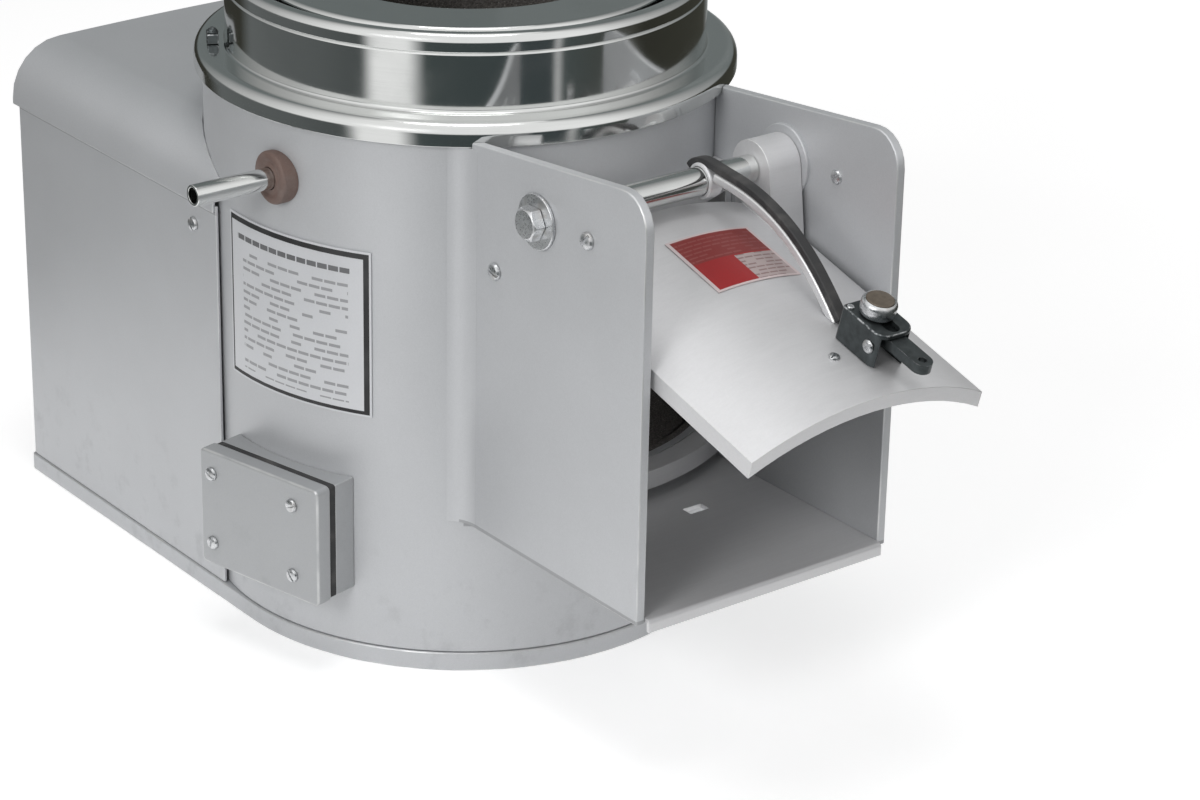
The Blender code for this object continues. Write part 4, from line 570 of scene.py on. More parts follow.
def make_cast_iron(name, colour):
    """Sand-cast iron: a coarse pitted skin with a dusting of rust."""
    spot = new_finish(name)
    sand = noise(spot, 700, 5.0, 0.7)
    patch = noise(spot, 60, 3.0)
    metal = mottled(sand * 0.6 + patch * 0.4, colour, 0.6, 1.5)
    metal = blend_colour(masked(patch, 0.56, 0.7) * 0.4, metal, (0.17, 0.09, 0.05))
    complete(metal, 0.60 + sand * 0.25, 0.55, sand, 0.55, 0.0005)


def make_motor_paint(name, colour):
    """Baked enamel on the motor, with a slight orange peel."""
    spot = new_finish(name)
    patch = noise(spot, 30, 3.0)
    enamel = mottled(patch, colour, 0.75, 1.25)
    complete(enamel, 0.34 + patch * 0.15, 0.1, noise(spot, 480), 0.25, 0.0003)


def make_grit(name, colour):
    """Bonded abrasive: sharp dark grains with pale facets and worn, shiny tips."""
    spot = new_finish(name)
    grains = cells(spot, 620.0)
    fine = noise(spot, 1500, 3.0)
    sparkle = masked(noise(spot, 1100, 1.0), 0.66, 0.74)
    body = mottled(grains * 0.7 + fine * 0.4, colour, 0.5, 2.1)
    body = blend_colour(noise(spot, 30, 3.0) * 0.25, body, (0.16, 0.13, 0.10))
    body = blend_colour(sparkle * 0.7, body, (0.46, 0.45, 0.43))
    bumps = 1 - grains + fine * 0.6
    complete(body, 0.92 - sparkle * 0.45, sparkle * 0.3, bumps, 0.9, 0.0012)


def make_rubber(name, colour):
    """Moulded rubber: a fine matte tooth with a bloom of dust."""
    spot = new_finish(name)
    tooth = noise(spot, 1300, 3.0)
    bloom = masked(noise(spot, 70, 4.0), 0.45, 0.75)
    body = blend_colour(bloom * 0.25, mottled(tooth, colour, 0.7, 1.4), (0.24, 0.23, 0.22))
    complete(body, 0.55 + bloom * 0.25 + tooth * 0.1, 0.0, tooth, 0.3, 0.0002)


def make_knob_cap(name, colour):
    """The turned brown cap on the latch knob."""
    spot = new_finish(name)
    swirl = drawn_noise(spot, (300, 300, 900), 4.0)
    complete(mottled(swirl, colour, 0.6, 1.6), 0.26 + swirl * 0.12, 0.35, swirl, 0.1, 0.0001)


def printed_block(printed, left, right, low, high):
    """1 inside a rectangle of a printed face, else 0."""
    return between(printed.axis("X"), left, right) * between(printed.axis("Y"), low, high)


def printed_bars(printed, rows, words, filled):
    """Rows of short ruled bars, like lines of small print seen from far away."""
    upward = printed.axis("Y") * rows
    row = upward.calculate("FLOOR", upward)
    shift = row.node("TexWhiteNoise", {"noise_dimensions": "1D"}, {"W": row + 3.7}, "Value")
    across = printed.axis("X") * words + shift * 4.0
    word = across.calculate("FLOOR", across)
    pair = row.node("CombineXYZ", inputs={"X": word, "Y": row})
    chance = row.node("TexWhiteNoise", {"noise_dimensions": "2D"}, {"Vector": pair}, "Value")
    line = between(upward - row, 0.28, 0.66) * between(across - word, 0.07, 0.95)
    return line * chance.below(filled)


def make_printed_plate(name, colour):
    """A metal plate with a black printed frame and rows of plain ruled bars."""
    spot = new_finish(name)
    printed = spot.node("TexCoord", output="UV")
    rim = printed_block(printed, 0.012, 0.988, 0.012, 0.988)
    rim = rim * (1 - printed_block(printed, 0.024, 0.956, 0.034, 0.956))
    bars = printed_bars(printed, 21.0, 13.0, 0.66) * printed_block(printed, 0.13, 0.87, 0.07, 0.80)
    title = printed_bars(printed, 12.0, 15.0, 0.93) * printed_block(printed, 0.08, 0.88, 0.84, 0.92)
    ink = (bars * 0.50).largest(title * 0.80).largest(rim)
    speck = noise(spot, 900)
    patch = noise(spot, 30, 3.0)
    plate = mottled(speck * 0.5 + patch * 0.5, colour, 0.90, 1.06)
    plate = blend_colour(ink * (0.90 + patch * 0.18), plate, (0.012, 0.012, 0.013))
    complete(plate, 0.34 + patch * 0.12 + rim * 0.08, 0.25 - ink * 0.2, speck, 0.08, 0.0001)


def make_red_panel(name, colour):
    """A printed film: pale border, red field, a darker band and a pale block of ruled bars."""
    spot = new_finish(name)
    printed = spot.node("TexCoord", output="UV")
    field = printed_block(printed, 0.035, 0.965, 0.03, 0.97)
    band = between(printed.axis("Y"), 0.52, 0.97)
    block = printed_block(printed, 0.50, 0.965, 0.03, 0.50)
    bars = printed_bars(printed, 15.0, 9.0, 0.78)
    speck = noise(spot, 800)
    film = mottled(speck * 0.6, colour, 0.85, 1.25)
    film = blend_colour(band * 0.75, film, (0.20, 0.030, 0.026))
    film = blend_colour(bars * band * 0.20, film, (0.45, 0.20, 0.19))
    film = blend_colour(block * 0.85, film, (0.50, 0.46, 0.45))
    film = blend_colour(bars * block * 0.7, film, (0.20, 0.10, 0.10))
    panel = blend_colour(field, (0.66, 0.56, 0.56), film)
    complete(panel, 0.36 + speck * 0.12, 0.0, speck, 0.06, 0.0001)


# Each finish, what makes it, and its colour: one that a user may change, or a fixed one
FINISH_MAKERS = (
    ("silver_paint", make_silver_paint, "paint"),
    ("box_paint", make_silver_paint, "box_paint"),
    ("satin_aluminium", make_satin_aluminium, "aluminium"),
    ("polished_steel", make_polished_steel, "steel"),
    ("zinc_steel", make_zinc_steel, "zinc"),
    ("dark_steel", make_dark_steel, "black_steel"),
    ("cast_iron", make_cast_iron, (0.17, 0.17, 0.175)),
    ("motor_paint", make_motor_paint, "motor"),
    ("grit", make_grit, "grit"),
    ("black_rubber", make_rubber, (0.022, 0.022, 0.023)),
    ("brown_rubber", make_rubber, "grommet"),
    ("printed_plate", make_printed_plate, (0.62, 0.63, 0.65)),
    ("red_panel", make_red_panel, "label"),
    ("knob_cap", make_knob_cap, (0.13, 0.105, 0.08)),
)


def add_outline(shape, corners, place, closed=True):
    """Draw a line through the corners and round those that have a rounding, large ones finely."""
    spots = [shape.verts.new(place(across, up)) for across, up, _ in corners]
    ends = spots[1:] + spots[:1] if closed else spots[1:]
    for first, second in zip(spots, ends):
        shape.edges.new((first, second))
    for width in sorted({corner[2] for corner in corners if corner[2]}, reverse=True):
        chosen = [spot for spot, corner in zip(spots, corners) if corner[2] == width]
        segments = DRUM_STEPS // 4 if width > LARGE_ROUNDING else ROUND_STEPS
        bmesh.ops.bevel(shape, geom=chosen, offset=width, affect="VERTICES", segments=segments,
                        profile=0.5, material=-1)
    bmesh.ops.remove_doubles(shape, verts=shape.verts, dist=MERGE_DISTANCE)


def tidied(shape):
    """Merge doubles, drop collapsed faces and turn every face outward."""
    bmesh.ops.remove_doubles(shape, verts=shape.verts, dist=MERGE_DISTANCE)
    bmesh.ops.dissolve_degenerate(shape, edges=shape.edges, dist=MERGE_DISTANCE)
    bmesh.ops.recalc_face_normals(shape, faces=shape.faces)
    return shape


def turned(corners, steps, closed=True):
    """Turn a (radius, height) outline about Z."""
    shape = bmesh.new()
    add_outline(shape, corners, lambda radius, height: (radius, 0, height), closed)
    bmesh.ops.spin(shape, geom=shape.verts[:] + shape.edges[:], cent=(0, 0, 0), axis=(0, 0, 1),
                   angle=2 * math.pi, steps=steps, use_merge=True, use_duplicate=False)
    return tidied(shape)


def push(shape, travel):
    """Extrude the faces, or a line that has none, along a vector, and return the moved points."""
    if shape.faces:
        made = bmesh.ops.extrude_face_region(shape, geom=shape.faces[:])
    else:
        made = bmesh.ops.extrude_edge_only(shape, edges=shape.edges[:])
    moved = [item for item in made["geom"] if isinstance(item, bmesh.types.BMVert)]
    bmesh.ops.translate(shape, verts=moved, vec=travel)
    return moved


def extruded(corners, place, travel):
    """Fill an outline and push it along a vector."""
    shape = bmesh.new()
    add_outline(shape, corners, place)
    bmesh.ops.contextual_create(shape, geom=shape.edges[:])
    push(shape, travel)
    return tidied(shape)


def along_x(corners, low, high):
    """Push a (y, z) outline along X."""
    return extruded(corners, lambda y, z: (low, y, z), (high - low, 0, 0))


def along_y(corners, low, high):
    """Push an (x, z) outline along Y."""
    return extruded(corners, lambda x, z: (x, low, z), (0, high - low, 0))


def along_z(corners, low, high):
    """Push an (x, y) outline along Z."""
    return extruded(corners, lambda x, y: (x, y, low), (0, 0, high - low))


def oblong(left, right, low, high, rounding):
    """The outline of a rectangle with one rounding."""
    return [(left, low, rounding), (right, low, rounding), (right, high, rounding),
            (left, high, rounding)]


def box_between(low, high):
    """A plain box, used only to cut with."""
    return along_z(oblong(low[0], high[0], low[1], high[1], 0), low[2], high[2])


def curved_sheet(radius, thickness, start, end, low, high):
    """A thin sheet rolled about Z between two bearings."""
    shape = bmesh.new()
    add_outline(shape, oblong(radius, radius + thickness, low, high, 0),
                lambda across, up: (across, 0, up))
    bmesh.ops.contextual_create(shape, geom=shape.edges[:])
    turn = Matrix.Rotation(start, 3, "Z")
    bmesh.ops.rotate(shape, verts=shape.verts, cent=(0, 0, 0), matrix=turn)
    bmesh.ops.spin(shape, geom=shape.faces[:], cent=(0, 0, 0), axis=(0, 0, 1), angle=end - start,
                   steps=ROUND_STEPS * 4, use_merge=False, use_duplicate=False)
    return tidied(shape)


def rounded(shape, width, angle=ROUND_FROM_ANGLE, steps=EDGE_STEPS):
    """Round the sharp edges, and mark the middle of each rounding as worn."""
    worn = shape.verts.layers.float.get("worn") or shape.verts.layers.float.new("worn")
    sharp = [edge for edge in shape.edges
             if len(edge.link_faces) == 2 and edge.calc_face_angle() > angle]
    made = bmesh.ops.bevel(shape, geom=sharp, offset=width, affect="EDGES", segments=steps,
                           profile=0.5, material=-1, clamp_overlap=True)
    fresh = set(made["faces"])
    for vert in {vert for face in fresh for vert in face.verts}:
        if all(face in fresh for face in vert.link_faces):
            vert[worn] = 1.0
    return shape


def as_object(name, shape):
    """Turn a shape into an object of the scene."""
    mesh = bpy.data.meshes.new(name)
    shape.to_mesh(mesh)
    shape.free()
    item = bpy.data.objects.new(name, mesh)
    bpy.context.scene.collection.objects.link(item)
    return item


def combined(shape, tool, operation):
    """Cut a tool from a shape, join the two or keep what they share, as a new shape."""
    target, other = as_object("target", shape), as_object("tool", tool)
    step = target.modifiers.new("step", "BOOLEAN")
    step.operation = operation
    step.solver = "EXACT"
    step.object = other
    graph = bpy.context.evaluated_depsgraph_get()
    mesh = bpy.data.meshes.new_from_object(target.evaluated_get(graph))
    result = bmesh.new()
    result.from_mesh(mesh)
    for used in (target.data, other.data, mesh):
        bpy.data.meshes.remove(used)
    bmesh.ops.remove_doubles(result, verts=result.verts, dist=MERGE_DISTANCE)
    return result


def cut(shape, *tools):
    """Cut every tool from a shape."""
    for tool in tools:
        shape = combined(shape, tool, "DIFFERENCE")
    return shape


def placed(shape, place):
    """Move a shape to its place."""
    shape.transform(place)
    return shape


def lay_along(axis, origin=(0, 0, 0)):
    """Matrix that lays the Z axis along another axis, at an origin."""
    turn = Vector((0, 0, 1)).rotation_difference(Vector(axis))
    return Matrix.Translation(origin) @ turn.to_matrix().to_4x4()


def cylinder_tool(radius, low, high, steps=DRUM_STEPS, place=AS_DRAWN):
    """A plain cylinder about Z, used only to cut with."""
    corners = [(0, low, 0), (radius, low, 0), (radius, high, 0), (0, high, 0)]
    return placed(turned(corners, steps, False), place)


def drill(radius, low, high, steps=DRUM_STEPS, place=AS_DRAWN):
    """A cylinder that clears a round piece all round and runs out at both ends."""
    return cylinder_tool(radius + SEAT_GAP, low - CUT_OVERRUN, high + CUT_OVERRUN, steps, place)


def piece(name, shape, body, finish, node=None, uv=None):
    """Turn a shape into a named piece that rides on a body and stands for a CAD node."""
    if uv:
        layer = shape.loops.layers.uv.new("UVMap")
        for face in shape.faces:
            for loop in face.loops:
                loop[layer].uv = uv(loop.vert.co)
    item = as_object(name, shape)
    item.data.shade_smooth()
    item.data.set_sharp_from_angle(angle=SHARP_ANGLE)
    item.data.materials.append(FINISHES[finish])
    even = item.modifiers.new("even_shading", "WEIGHTED_NORMAL")
    even.keep_sharp = True
    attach(item, body)
    if node:
        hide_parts(node)


def node_shape(node):
    """A merged copy of a CAD node's loose triangles, with flat faces made whole."""
    shape = bmesh.new()
    shape.from_mesh(frame["nodes"][node].data)
    for layer in list(shape.loops.layers.uv.values()):
        shape.loops.layers.uv.remove(layer)
    bmesh.ops.remove_doubles(shape, verts=shape.verts, dist=NODE_MERGE_DISTANCE)
    bmesh.ops.dissolve_limit(shape, angle_limit=FLAT_ANGLE, verts=shape.verts, edges=shape.edges)
    return shape


def dress(node, body, finish, width=FINE, name=None):
    """Stand for a CAD node with a merged copy whose edges are rounded."""
    piece(name or node + "_dressed", rounded(node_shape(node), width), body, finish, node)


def screw(name, body, place, size, turn, node=None):
    """A slotted round-head screw, standing on its seat."""
    radius, height = size
    corners = [(0, 0, 0), (radius, 0, 0), (radius, height * 0.30, 0),
               (radius * 0.86, height * 0.74, 0), (radius * 0.55, height * 0.95, 0),
               (0, height, 0)]
    head = turned(corners, SCREW_STEPS, False)
    reach, half = radius * 1.2, radius * 0.16
    slot = box_between((-reach, -half, height * 0.48), (reach, half, height * 1.5))
    head = cut(head, placed(slot, Matrix.Rotation(turn, 4, "Z")))
    piece(name, placed(rounded(head, radius * 0.05, steps=2), place), body, "zinc_steel", node)


def side_screw(node, side, turn):
    """A screw on a side wall, in the place and size of its CAD node."""
    low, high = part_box(node)
    middle = (low + high) / 2
    seat = (low.x if side > 0 else high.x, middle.y, middle.z)
    size = ((high.z - low.z) / 2, high.x - low.x)
    screw(node + "_head", "frame", lay_along((side, 0, 0), seat), size, turn, node)


def side_pipe(node, side):
    """Radius and place of a level pipe that leaves the drum on one side."""
    low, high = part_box(node)
    middle = (low + high) / 2
    return (high.z - low.z) / 2, lay_along((side, 0, 0), (0, middle.y, middle.z))


def hex_head(radius, low, high, rounding):
    """A hexagon head about Z with its top corners taken off."""
    shape = bmesh.new()
    bmesh.ops.create_circle(shape, cap_ends=True, radius=radius, segments=6)
    bmesh.ops.translate(shape, verts=shape.verts, vec=(0, 0, low))
    push(shape, (0, 0, high - low))
    under, reach = low - CUT_OVERRUN / 4, radius * 1.2
    dome = turned([(0, under, 0), (reach, under, 0), (reach, high - rounding * 1.6, 0),
                   (radius * 0.80, high, 0), (0, high, 0)], ROD_STEPS, False)
    shape = combined(tidied(shape), dome, "INTERSECT")
    return rounded(shape, rounding * 0.3, HEX_ROUND_FROM_ANGLE)


def length_property(name, description, default, least, most):
    """A size that a user may change."""
    return FloatProperty(name=name, description=description, default=default, min=least, max=most,
                         precision=4, unit="LENGTH", subtype="DISTANCE")


def colour_property(name, description, default):
    """A colour that a user may change."""
    return FloatVectorProperty(name=name, description=description, default=default, size=3,
                               min=0.0, max=1.0, subtype="COLOR")


class PeelerSizes(bpy.types.PropertyGroup):
    """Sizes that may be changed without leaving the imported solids."""

    edge_rounding: length_property(
        "Edge rounding", "Rounding on the edges of the motor housing", FINE, 0.0001, 0.0015)
    weld_reach: length_property(
        "Weld reach", "How far the blend of cheek and drum reaches", WELD_REACH, 0.003, 0.020)
    bead_radius: length_property(
        "Collar bead", "Radius of the rolled bead on the collar", COLLAR_BEAD, 0.003, COLLAR_BEAD)


class PeelerColours(bpy.types.PropertyGroup):
    """Colours of the finishes."""

    paint: colour_property("Silver paint", "Drum, housing and chute", (0.53, 0.54, 0.555))
    box_paint: colour_property("Box paint", "Paint on the junction box", (0.42, 0.43, 0.44))
    aluminium: colour_property("Aluminium", "Door, handle and chute floor", (0.66, 0.66, 0.67))
    steel: colour_property("Polished steel", "Collar and inlet pipe", (0.70, 0.71, 0.70))
    zinc: colour_property("Zinc plate", "Screws, washers and knob", (0.62, 0.63, 0.64))
    black_steel: colour_property("Black steel", "Latch and clips", (0.062, 0.070, 0.072))
    motor: colour_property("Motor paint", "Enamel on the motor", (0.10, 0.11, 0.13))
    grit: colour_property("Grit", "Lining and abrasive disc", (0.085, 0.080, 0.075))
    grommet: colour_property("Grommet", "Rubber round the inlet", (0.125, 0.080, 0.066))
    label: colour_property("Label", "Panel on the door", (0.36, 0.012, 0.014))


class PEELER_OT_finishes(bpy.types.Operator):
    """Make the paint, metal, rubber and print finishes"""

    bl_idname = "peeler.finishes"
    bl_label = "Finishes"

    def execute(self, context):
        for name, make, colour in FINISH_MAKERS:
            if isinstance(colour, str):
                colour = getattr(context.scene.peeler_colours, colour)
            make(name, tuple(colour))
        return {"FINISHED"}


class PEELER_OT_stage(bpy.types.Operator):
    """Make the floor, the white world, the lamps, the wall for reflections and the camera"""

    bl_idname = "peeler.stage"
    bl_label = "Studio"

    def execute(self, context):
        add_floor()
        add_world(context.scene)
        for name, spot, width, height, watts in LAMPS:
            add_lamp(name, Vector(spot), width, height, watts)
        add_surround()
        add_camera(context.scene)
        context.scene.view_settings.view_transform = "Standard"
        return {"FINISHED"}


def seen_directly(start):
    """1 for rays from the camera, or seen in a mirror or through glass."""
    rays = ("Is Camera Ray", "Is Glossy Ray", "Is Transmission Ray")
    camera, glossy, clear = (start.node("LightPath", output=name) for name in rays)
    return camera.largest(glossy).largest(clear)


def add_floor():
    """A wide pale floor that keeps the object's shadow."""
    shape = bmesh.new()
    bmesh.ops.create_grid(shape, x_segments=8, y_segments=8, size=FLOOR_REACH)
    floor = as_object("floor", shape)
    spot = new_finish("floor_paper")
    paper = blend_colour(noise(spot, 3.0), (0.86, 0.86, 0.86), (0.90, 0.90, 0.90))
    matte = spot.node("BsdfDiffuse", inputs={"Color": paper})
    glow = {"Color": WHITE, "Strength": seen_directly(spot) * FLOOR_GLOW}
    both = spot.node("AddShader", inputs={0: matte, 1: spot.node("Emission", inputs=glow)})
    spot.node("OutputMaterial", inputs={"Surface": both})
    floor.data.materials.append(FINISHES["floor_paper"])


def add_world(scene):
    """Even soft light, with plain white behind."""
    world = bpy.data.worlds.new("studio")
    world.use_nodes = True
    world.node_tree.nodes.clear()
    start = Signal(world.node_tree)
    strength = seen_directly(start) * (1 - WORLD_LIGHT) + WORLD_LIGHT
    light = start.node("Background", inputs={"Color": WHITE, "Strength": strength})
    start.node("OutputWorld", inputs={"Surface": light})
    scene.world = world


def add_lamp(name, spot, width, height, watts):
    """A soft rectangular lamp that faces the machine."""
    lamp = bpy.data.lights.new(name, "AREA")
    lamp.shape = "RECTANGLE"
    lamp.size = width
    lamp.size_y = height
    lamp.energy = watts
    item = bpy.data.objects.new(name, lamp)
    turn = (LAMP_AIM - spot).to_track_quat("-Z", "Y")
    item.matrix_world = Matrix.Translation(spot) @ turn.to_matrix().to_4x4()
    bpy.context.scene.collection.objects.link(item)


def add_surround():
    """A wall of dark and light paper that only shiny metal sees, which draws its streaks."""
    corners = [(SURROUND_RADIUS, SURROUND_LOW, 0), (SURROUND_RADIUS, SURROUND_TOP, 0),
               (SURROUND_MOUTH, SURROUND_TOP + SURROUND_LEAN, 0)]
    wall = as_object("surround", turned(corners, DRUM_STEPS, False))
    for ray in ("camera", "diffuse", "shadow", "transmission", "volume_scatter"):
        setattr(wall, "visible_" + ray, False)
    spot = new_finish("surround_paper")
    turn = tuple(Matrix.Rotation(math.pi / 2 - CAMERA_AZIMUTH, 3, "Z").to_euler())
    faced = spot.node("Mapping", inputs={"Vector": spot, "Rotation": turn})
    bearing = spot.calculate("ARCTAN2", faced.axis("Y"), faced.axis("X")) * (0.5 / math.pi) + 0.5
    low, high = (spot.node("ValToRGB", {"stops": stops}, {"Fac": bearing})
                 for stops in (LOW_STREAKS, HIGH_STREAKS))
    risen = masked(faced.axis("Z"), SURROUND_SPLIT, SURROUND_SPLIT + SURROUND_BLEND)
    glow = spot.node("Emission", inputs={"Color": blend_colour(risen, low, high), "Strength": 1.0})
    spot.node("OutputMaterial", inputs={"Surface": glow})
    wall.data.materials.append(FINISHES["surround_paper"])


def add_camera(scene):
    """The photograph's view."""
    flat = math.cos(CAMERA_ELEVATION)
    forward = Vector((-math.sin(CAMERA_AZIMUTH) * flat, math.cos(CAMERA_AZIMUTH) * flat,
                      -math.sin(CAMERA_ELEVATION)))
    level = forward.cross(Vector((0, 0, 1))).normalized()
    upright = level.cross(forward)
    right = level * math.cos(CAMERA_ROLL) + upright * math.sin(CAMERA_ROLL)
    up = upright * math.cos(CAMERA_ROLL) - level * math.sin(CAMERA_ROLL)
    lens = bpy.data.cameras.new("camera")
    lens.lens = CAMERA_LENS
    lens.sensor_width = CAMERA_SENSOR
    camera = bpy.data.objects.new("camera", lens)
    columns = Matrix((right, up, -forward)).transposed().to_4x4()
    camera.matrix_world = Matrix.Translation(CAMERA_PLACE) @ columns
    scene.collection.objects.link(camera)
    scene.camera = camera


class PEELER_OT_drum(bpy.types.Operator):
    """Make the base, the drum wall, its gritty lining and the pan"""

    bl_idname = "peeler.drum"
    bl_label = "Base and drum"

    def execute(self, context):
        reach = base_high.x
        # The two front roundings meet in the middle
        front = reach - MERGE_DISTANCE / 4
        corners = [(-reach, -reach, front), (reach, -reach, front),
                   (reach, base_high.y, BASE_CORNER), (-reach, base_high.y, BASE_CORNER)]
        base = rounded(along_z(corners, base_low.z, base_high.z), WIDE)
        piece("base_slab", base, "frame", "silver_paint", "base_plate")

        foot, top = drum_low.z, drum_high.z
        corners = [
            (DRUM_RADIUS, foot, EASED), (DRUM_RADIUS, top, WIDE), (DRUM_BORE, top, WIDE),
            (DRUM_BORE, DRUM_LEDGE_TOP, 0), (DRUM_LEDGE_BORE, DRUM_LEDGE_TOP, EASED),
            (DRUM_LEDGE_BORE, DRUM_LEDGE_BOTTOM, EASED), (DRUM_BORE, DRUM_LEDGE_FOOT, 0),
            (DRUM_BORE, foot, EASED),
        ]
        slot = box_between(BELT_SLOT_LOW, BELT_SLOT_HIGH)
        wall = cut(turned(corners, DRUM_STEPS), slot, *wall_tools())
        piece("drum_wall", wall, "frame", "silver_paint", "drum_shell")

        low, high = liner_low.z, liner_high.z
        outer = DRUM_BORE - SEAT_GAP
        corners = [(outer, low, 0), (outer, high, 0), (LINER_BORE, high, BROAD),
                   (LINER_BORE, low, BROAD)]
        lining = cut(turned(corners, DRUM_STEPS), *wall_tools())
        piece("drum_lining", lining, "frame", "grit", "drum_liner")
        dress("drum_floor", "frame", "satin_aluminium", name="drum_pan")
        return {"FINISHED"}


def wall_tools():
    """Cutters for the chute's opening, the water inlet and the drain."""
    tools = [box_between(OPENING_LOW, OPENING_HIGH)]
    for node, side in (("inlet_pipe", -1), ("drain_spout", 1)):
        radius, place = side_pipe(node, side)
        tools.append(cylinder_tool(radius + SEAT_GAP, *PIPE_HOLE_REACH, ROD_STEPS, place))
    return tools


class PEELER_OT_collar(bpy.types.Operator):
    """Make the spun steel collar, the loose splash ring and the clips"""

    bl_idname = "peeler.collar"
    bl_label = "Hopper collar"

    def execute(self, context):
        bead = context.scene.peeler_sizes.bead_radius
        skirt, top = collar_low.z, collar_high.z
        band, inner = COLLAR_BAND_RADIUS, COLLAR_BAND_RADIUS - COLLAR_SHEET
        flange = COLLAR_RADIUS - COLLAR_SHEET
        groove = top - 2 * bead
        full = bead - MERGE_DISTANCE
        corners = [
            (COLLAR_RADIUS, skirt, FINE),
            (COLLAR_RADIUS, COLLAR_SHOULDER_Z, COLLAR_SHOULDER_ROUNDING),
            (band, COLLAR_SHOULDER_Z, COLLAR_FILLET),
            (band, groove - 3 * COLLAR_GROOVE_HALF, CRISP),
            (band - COLLAR_GROOVE, groove - COLLAR_GROOVE_HALF, 0),
            (band, groove + COLLAR_GROOVE_HALF, KEEN), (band, top, full),
            (band - 2 * bead, top, full), (band - 2 * bead, groove, bead * 0.7),
            (inner, groove, SOFT), (inner, COLLAR_LEDGE_Z, EASED),
            (COLLAR_LEDGE_RADIUS, COLLAR_LEDGE_Z, SOFT),
            (COLLAR_LEDGE_RADIUS, COLLAR_BASE_Z, SOFT), (flange, COLLAR_BASE_Z, EASED),
            (flange, skirt, FINE),
        ]
        collar = turned(corners, DRUM_STEPS)
        piece("collar", collar, "frame", "polished_steel", "hopper_collar")

        foot, top = ring_low.z, ring_high.z
        step, lip = foot + RING_SHEET, top - RING_LIP
        wall, mouth = RING_WALL_RADIUS, RING_MOUTH_RADIUS
        corners = [
            (RING_FOOT_RADIUS, foot, FINE), (RING_FOOT_RADIUS, step, FINE), (wall, step, EASED),
            (wall, top, RING_SHOULDER), (mouth, top, ROUND), (mouth, lip, THIN),
            (mouth + RING_SHEET, lip, THIN), (mouth + RING_SHEET, top - RING_SHEET, CRISP),
            (wall - RING_SHEET, top - RING_SHEET, BENT), (wall - RING_SHEET, foot, FINE),
        ]
        ring = turned(corners, DRUM_STEPS)
        piece("splash_guard", ring, "splash_ring", "polished_steel", "splash_ring")
        for side in ("left", "right"):
            dress("collar_clip_" + side, "clip_" + side, "dark_steel", CLIP_ROUNDING)
        return {"FINISHED"}


class PEELER_OT_motor_housing(bpy.types.Operator):
    """Make the bent housing, its rounded cover, the brackets and the side screws"""

    bl_idname = "peeler.motor_housing"
    bl_label = "Motor housing"

    def execute(self, context):
        width = context.scene.peeler_sizes.edge_rounding
        outer, front, back = housing_high.x, housing_low.y, housing_high.y
        inner, lining = outer - HOUSING_SHEET, back - HOUSING_SHEET
        corners = [
            (-outer, front, 0), (-outer, back, HOUSING_CORNER), (outer, back, HOUSING_CORNER),
            (outer, front, 0), (inner, front, 0), (inner, lining, EASED), (-inner, lining, EASED),
            (-inner, front, 0),
        ]
        sheet = rounded(along_z(corners, housing_low.z, housing_high.z), width)
        piece("housing_sheet", sheet, "frame", "silver_paint", "motor_housing")
        piece("housing_lid", cover_shape(width), "frame", "silver_paint", "motor_cover")
        for name, side, turn in (("left", -1, 0.5), ("right", 1, 2.1)):
            side_screw("housing_screw_" + name, side, turn)
            dress("housing_bracket_" + name, "frame", "zinc_steel")
        return {"FINISHED"}


def cover_shape(width):
    """The lid: a rounded sheet over the housing whose front edge follows the drum."""
    half, low = cover_high.x, cover_low.z
    side_top = cover_high.z - COVER_RISE
    corners = [(-half, low, 0), (-half, side_top, COVER_CORNER), (half, side_top, COVER_CORNER),
               (half, low, 0)]
    shape = bmesh.new()
    add_outline(shape, corners, lambda x, z: (x, 0, z), False)
    crown = [edge for edge in shape.edges if edge.calc_length() > COVER_CORNER * 2]
    bmesh.ops.subdivide_edges(shape, edges=crown, cuts=COVER_COLUMNS)
    flat = half - COVER_CORNER
    for vert in shape.verts:
        if abs(vert.co.x) < flat:
            vert.co.z = side_top + COVER_RISE * (1 - (vert.co.x / flat) ** 2)
    back = set(push(shape, (0, cover_high.y, 0)))
    for vert in set(shape.verts) - back:
        beyond = (DRUM_RADIUS + COVER_DRUM_GAP) ** 2 - vert.co.x ** 2
        vert.co.y = max(cover_low.y, math.sqrt(beyond) if beyond > 0 else 0)
    rear = [edge for edge in shape.edges if all(vert in back for vert in edge.verts)]
    last = [vert for vert in back if abs(vert.co.z - low) < MERGE_DISTANCE]
    rear.append(shape.edges.new(sorted(last, key=lambda vert: vert.co.x)))
    bmesh.ops.contextual_create(shape, geom=rear)
    tidied(shape)
    top = max(shape.faces, key=lambda face: face.calc_center_median().z)
    if top.normal.z < 0:
        bmesh.ops.reverse_faces(shape, faces=shape.faces)
    bmesh.ops.solidify(shape, geom=shape.faces[:], thickness=COVER_SHEET)
    return rounded(tidied(shape), width)


